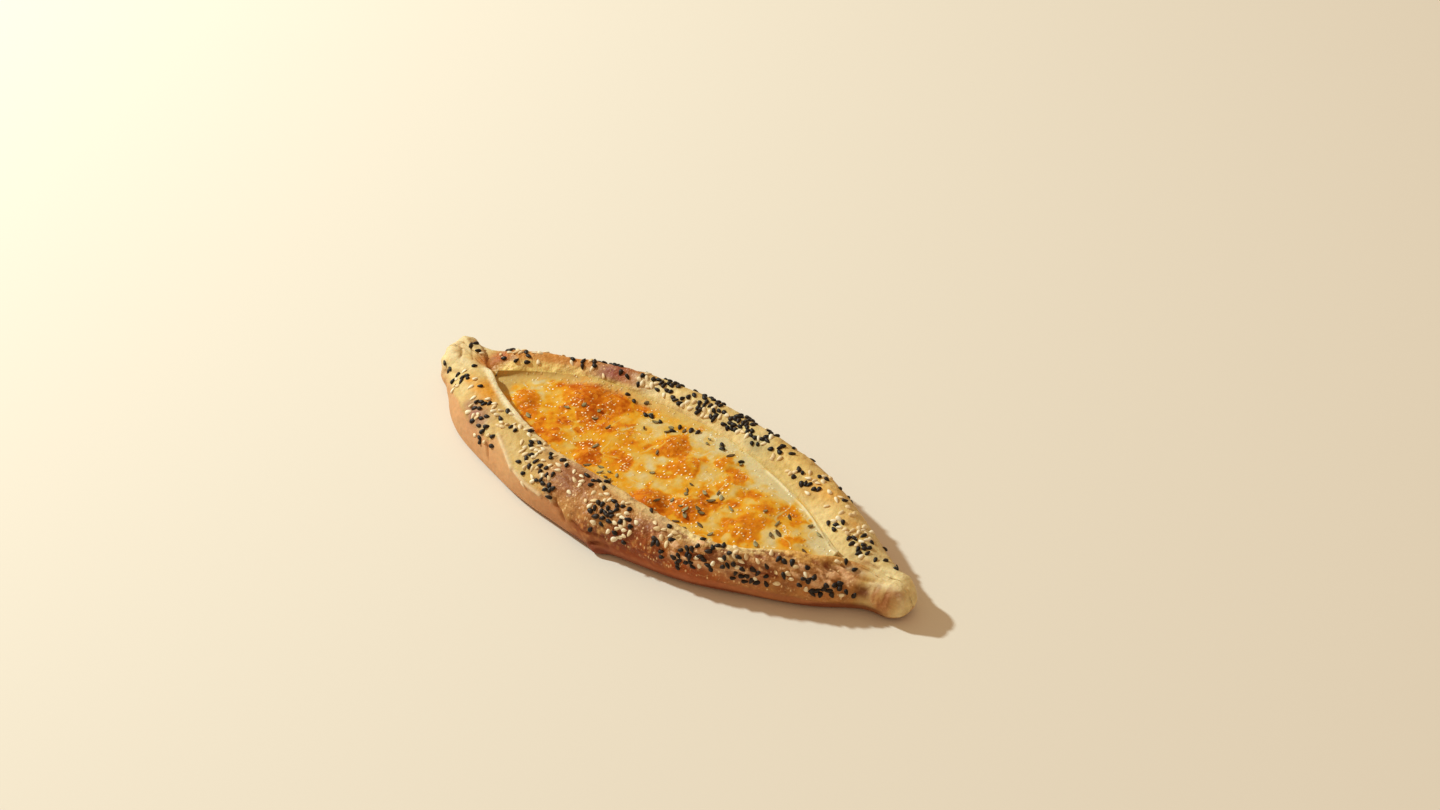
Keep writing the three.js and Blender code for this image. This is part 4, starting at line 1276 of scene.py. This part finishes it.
def draw_between(tree, low, high, seed):
    """A number or a vector drawn between two values, one for each point."""
    if isinstance(low, float):
        values = {2: low, 3: high, "Seed": seed}
        return add_node(tree, "FunctionNodeRandomValue", values, data_type="FLOAT").outputs[1]
    values = {0: low, 1: high, "Seed": seed}
    return add_node(tree, "FunctionNodeRandomValue", values, data_type="FLOAT_VECTOR").outputs[0]


def vector(tree, *parts):
    return add_node(tree, "ShaderNodeCombineXYZ", dict(enumerate(parts))).outputs[0]


def placed(tree, geometry, position):
    """Puts each point of a mesh at a position of its own."""
    values = {"Geometry": geometry, "Position": position}
    return add_node(tree, "GeometryNodeSetPosition", values).outputs[0]


def drop_grain(tree, inputs):
    """A drop along X, narrowing towards its end, from a ball of a few dozen faces."""
    ball = add_node(tree, "GeometryNodeMeshUVSphere", {"Segments": 8, "Rings": 6, "Radius": 0.5})
    place = add_node(tree, "GeometryNodeInputPosition").outputs[0]
    across, side, along = add_node(tree, "ShaderNodeSeparateXYZ", {0: place}).outputs
    narrow = calc(tree, "SUBTRACT", 1.0, times(tree, along, inputs["Shaping"]))
    width = times(tree, narrow, inputs["Width"])
    thickness = times(tree, narrow, times(tree, inputs["Thickness"], -1.0))
    length = times(tree, along, inputs["Length"])
    drop = vector(tree, length, times(tree, side, width), times(tree, across, thickness))
    return placed(tree, ball.outputs[0], drop)


def strewn_tree(name, grain_of):
    """Lays a grain on each point of a mesh that its black layer picks out, on the side that its facing
    layer gives, turned at random and a little tilted."""
    sizes = ["Length", "Width", "Thickness", "Shaping", "Rise", "Tilt", "Smallest", "Largest"]
    kinds = {**{label: "Float" for label in sizes}, "Black": "Bool", "Seed": "Int", "Material": "Material"}
    tree, inputs, end = geometry_tree(name, kinds)
    values = {0: named_layer(tree, "is_black", "BOOLEAN"), 1: inputs["Black"]}
    chosen = add_node(tree, "FunctionNodeBooleanMath", values, operation="XNOR").outputs[0]
    points = add_node(tree, "GeometryNodeMeshToPoints", {"Mesh": inputs["Geometry"], "Selection": chosen})
    values = {"Vector": named_layer(tree, "facing", "FLOAT_VECTOR")}
    upright = add_node(tree, "FunctionNodeAlignRotationToVector", values, axis="Z").outputs[0]
    back_tilt = times(tree, inputs["Tilt"], -1.0)
    low = vector(tree, back_tilt, back_tilt, -math.pi)
    high = vector(tree, inputs["Tilt"], inputs["Tilt"], math.pi)
    turn = draw_between(tree, low, high, inputs["Seed"])
    spin = add_node(tree, "FunctionNodeEulerToRotation", {0: turn}).outputs[0]
    values = {"Rotation": upright, "Rotate By": spin}
    turned = add_node(tree, "FunctionNodeRotateRotation", values, rotation_space="LOCAL").outputs[0]
    smallest = vector(tree, *[inputs["Smallest"]] * 3)
    largest = vector(tree, *[inputs["Largest"]] * 3)
    laid = add_node(
        tree,
        "GeometryNodeInstanceOnPoints",
        {
            "Points": points.outputs[0],
            "Instance": grain_of(tree, inputs),
            "Rotation": turned,
            "Scale": draw_between(tree, smallest, largest, SIZE_DRAW),
        },
    ).outputs[0]
    values = {"Instances": laid, "Translation": vector(tree, 0.0, 0.0, inputs["Rise"])}
    lifted = add_node(tree, "GeometryNodeTranslateInstances", values).outputs[0]
    values = {"Geometry": lifted, "Name": "tint", "Value": draw_between(tree, 0.0, 1.0, TINT_DRAW)}
    settings = {"data_type": "FLOAT", "domain": "INSTANCE"}
    tinted = add_node(tree, "GeometryNodeStoreNamedAttribute", values, **settings).outputs[0]
    finish_tree(tree, tinted, inputs["Material"], end)
    return tree


def grain_material(name, pale, dark, roughness):
    """A dry coat whose colour differs from grain to grain, with fine streaks."""
    material, tree, shader = new_material(name)
    streak = ramped(tree, surface_noise(tree, SEED_STREAK_SIZE), 0.3, 0.7, -0.15, 0.15)
    share = calc(tree, "ADD", layer(tree, "tint").outputs["Fac"], streak)
    tree.links.new(blended(tree, share, pale, dark), shader.inputs["Base Color"])
    grain = surface_noise(tree, SEED_GRAIN_SIZE)
    bump = add_node(tree, "ShaderNodeBump", {"Height": grain, "Strength": 0.3, "Distance": 0.0001})
    tree.links.new(bump.outputs[0], shader.inputs["Normal"])
    set_inputs(shader, {"Roughness": roughness, "Specular IOR Level": 0.25})
    return material


def strewn_bed(name, points, facing, is_black):
    """Loose points to lay grains on, with the layers that the tree reads."""
    bed = bpy.data.meshes.new(name)
    bed.from_pydata((points + TO_MIDDLE) * MILLIMETRE, [], [])
    bed.attributes.new("facing", "FLOAT_VECTOR", "POINT").data.foreach_set("vector", facing.ravel())
    bed.attributes.new("is_black", "BOOLEAN", "POINT").data.foreach_set("value", is_black)
    return bed


rim_points = points_of(dough_boat.data)
filling_points = points_of(melted_cheese.data)
filling_normals = normals_of(melted_cheese.data)
rim_holds = ease(boat_runs, 0.0, 0.15) * (1 - ease(boat_runs, 1.5, 1.9))
rim_picks, rim_is_black = strewn_seeds(rim_points, rim_holds)
spilt_gaps = np.linalg.norm(filling_points[:, None, :2] - np.array(SPILT_SEEDS, float), axis=2)
spilt_picks = np.argmin(spilt_gaps + OFF_THE_TOP * ~cheese_is_top[:, None], axis=0)
seed_bed = strewn_bed(
    "seed_bed",
    np.vstack([rim_points[rim_picks], filling_points[spilt_picks]]),
    np.vstack([normals_of(dough_boat.data)[rim_picks], filling_normals[spilt_picks]]),
    np.concatenate([rim_is_black, np.ones(len(spilt_picks), bool)]),
)
laid_seeds = strewn_tree("laid_seeds", drop_grain)
SEED_KINDS = {
    "white_seeds": {
        "Length": 0.0030,
        "Width": 0.0018,
        "Thickness": 0.0011,
        "Rise": 0.0001,
        "Black": False,
        "Material": grain_material("white_seed_coat", (0.95, 0.84, 0.60), (0.78, 0.56, 0.28), 0.45),
    },
    "black_seeds": {
        "Length": 0.0030,
        "Width": 0.0019,
        "Thickness": 0.0015,
        "Rise": 0.0002,
        "Black": True,
        "Material": grain_material("black_seed_coat", (0.010, 0.007, 0.006), (0.030, 0.017, 0.010), 0.5),
    },
}
for name, kind in SEED_KINDS.items():
    shared = {"Shaping": 0.8, "Tilt": 0.35, "Smallest": 0.8, "Largest": 1.15, "Seed": 12}
    seeds = grown(name, seed_bed, laid_seeds, {**shared, **kind})
    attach(seeds, "root")


# The herb flakes: crumbled dried leaf, shaken over the cheese before baking and stuck in it. Each is a
# thin, curled sliver about 2 to 4 mm long, from grey-green to brown.
FLAKE_SPACING = 2.6
FLAKE_COUNT = 56
FLAKE_DRAW = 9
FLAKE_POINTEDNESS = 3.4
FLAKE_CUP = 0.8


def curled_flake(tree, inputs):
    """A thin leaf shard along X, pointed at both ends and curled up, from a block of a few dozen faces."""
    values = {"Size": (1.0, 1.0, 1.0), "Vertices X": 6, "Vertices Y": 3, "Vertices Z": 2}
    block = add_node(tree, "GeometryNodeMeshCube", values)
    place = add_node(tree, "GeometryNodeInputPosition").outputs[0]
    along, side, up = add_node(tree, "ShaderNodeSeparateXYZ", {0: place}).outputs
    bow = times(tree, along, along)
    narrow = calc(tree, "SUBTRACT", 1.0, times(tree, bow, FLAKE_POINTEDNESS))
    cup = times(tree, times(tree, side, side), times(tree, inputs["Width"], FLAKE_CUP))
    curl = times(tree, bow, times(tree, inputs["Shaping"], inputs["Length"]))
    lift = calc(tree, "ADD", times(tree, up, inputs["Thickness"]), calc(tree, "ADD", cup, curl))
    width = times(tree, times(tree, side, narrow), inputs["Width"])
    shard = vector(tree, times(tree, along, inputs["Length"]), width, lift)
    return placed(tree, block.outputs[0], shard)


flake_picks = []
flake_cover = cheese_is_top * ease(edge_gap, 2, 5) * ease(cheese_x, -76, -40)
flake_cover = flake_cover * mix(1.0, 0.5, ease(cheese_x, 25, 50))
flake_cover = flake_cover * ease(cloud(filling_points, 12, 51), -0.5, 0.4)
flake_draw = np.random.default_rng(FLAKE_DRAW)
picked(filling_points, flake_cover, FLAKE_COUNT, FLAKE_SPACING, flake_picks, flake_draw)
flake_bed = strewn_bed(
    "flake_bed", filling_points[flake_picks], filling_normals[flake_picks], np.ones(len(flake_picks), bool)
)
herb_flakes = grown(
    "herb_flakes",
    flake_bed,
    strewn_tree("laid_flakes", curled_flake),
    {
        "Length": 0.0027,
        "Width": 0.0013,
        "Thickness": 0.00025,
        "Shaping": 0.3,
        "Rise": 0.0001,
        "Tilt": 0.25,
        "Smallest": 0.6,
        "Largest": 1.5,
        "Black": True,
        "Seed": 4,
        "Material": grain_material("dried_leaf", (0.38, 0.33, 0.16), (0.12, 0.06, 0.02), 0.7),
    },
)
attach(herb_flakes, "root")


# The floor, light and camera: a plain pale floor, one small bright lamp beyond the blunt end, warm light
# from all round, and a camera that looks down along the boat from its front right. Sizes are metres.
FLOOR_HALF = 2.0
FLOOR_TONE = (0.84, 0.775, 0.67)
LAMP_PLACE = (-1.707, -0.301, 1.355)
LAMP_WIDTH = 0.14
LAMP_POWER = 48
LAMP_TONE = (0.86, 1.0, 1.0)
SURROUND_TONE = (0.50, 0.35, 0.21)
CAMERA_PLACE = (0.45567, -0.53976, 0.60731)
CAMERA_AIM = (-0.4832, 0.6156, -0.6225)
CAMERA_LENS = 56.25
SENSOR_WIDTH = 36.0
floor_mesh = bpy.data.meshes.new("floor")
floor_corners = [(x * FLOOR_HALF, y * FLOOR_HALF, 0) for x, y in ((-1, -1), (1, -1), (1, 1), (-1, 1))]
floor_mesh.from_pydata(floor_corners, [], [(0, 1, 2, 3)])
floor = bpy.data.objects.new("floor", floor_mesh)
bpy.context.scene.collection.objects.link(floor)
floor_material, floor_tree, floor_shader = new_material("pale_floor")
floor_finish = {"Base Color": (*FLOOR_TONE, 1.0), "Roughness": 0.8, "Specular IOR Level": 0.2}
set_inputs(floor_shader, floor_finish)
floor_mesh.materials.append(floor_material)

lamp_data = bpy.data.lights.new("key_lamp", "AREA")
lamp_data.shape = "DISK"
lamp_data.size = LAMP_WIDTH
lamp_data.energy = LAMP_POWER
lamp_data.color = LAMP_TONE
lamp = bpy.data.objects.new("key_lamp", lamp_data)
lamp.location = LAMP_PLACE
lamp.rotation_euler = (-lamp.location).to_track_quat("-Z", "Y").to_euler()
bpy.context.scene.collection.objects.link(lamp)

world = bpy.data.worlds.new("warm_surround")
world.use_nodes = True
set_inputs(world.node_tree.nodes["Background"], {"Color": (*SURROUND_TONE, 1.0), "Strength": 1.0})
bpy.context.scene.world = world
bpy.context.scene.view_settings.view_transform = "Standard"

camera_data = bpy.data.cameras.new("camera")
camera_data.sensor_width = SENSOR_WIDTH
camera_data.lens = CAMERA_LENS
camera = bpy.data.objects.new("camera", camera_data)
camera.location = CAMERA_PLACE
camera.rotation_euler = Vector(CAMERA_AIM).to_track_quat("-Z", "Y").to_euler()
bpy.context.scene.collection.objects.link(camera)
bpy.context.scene.camera = camera
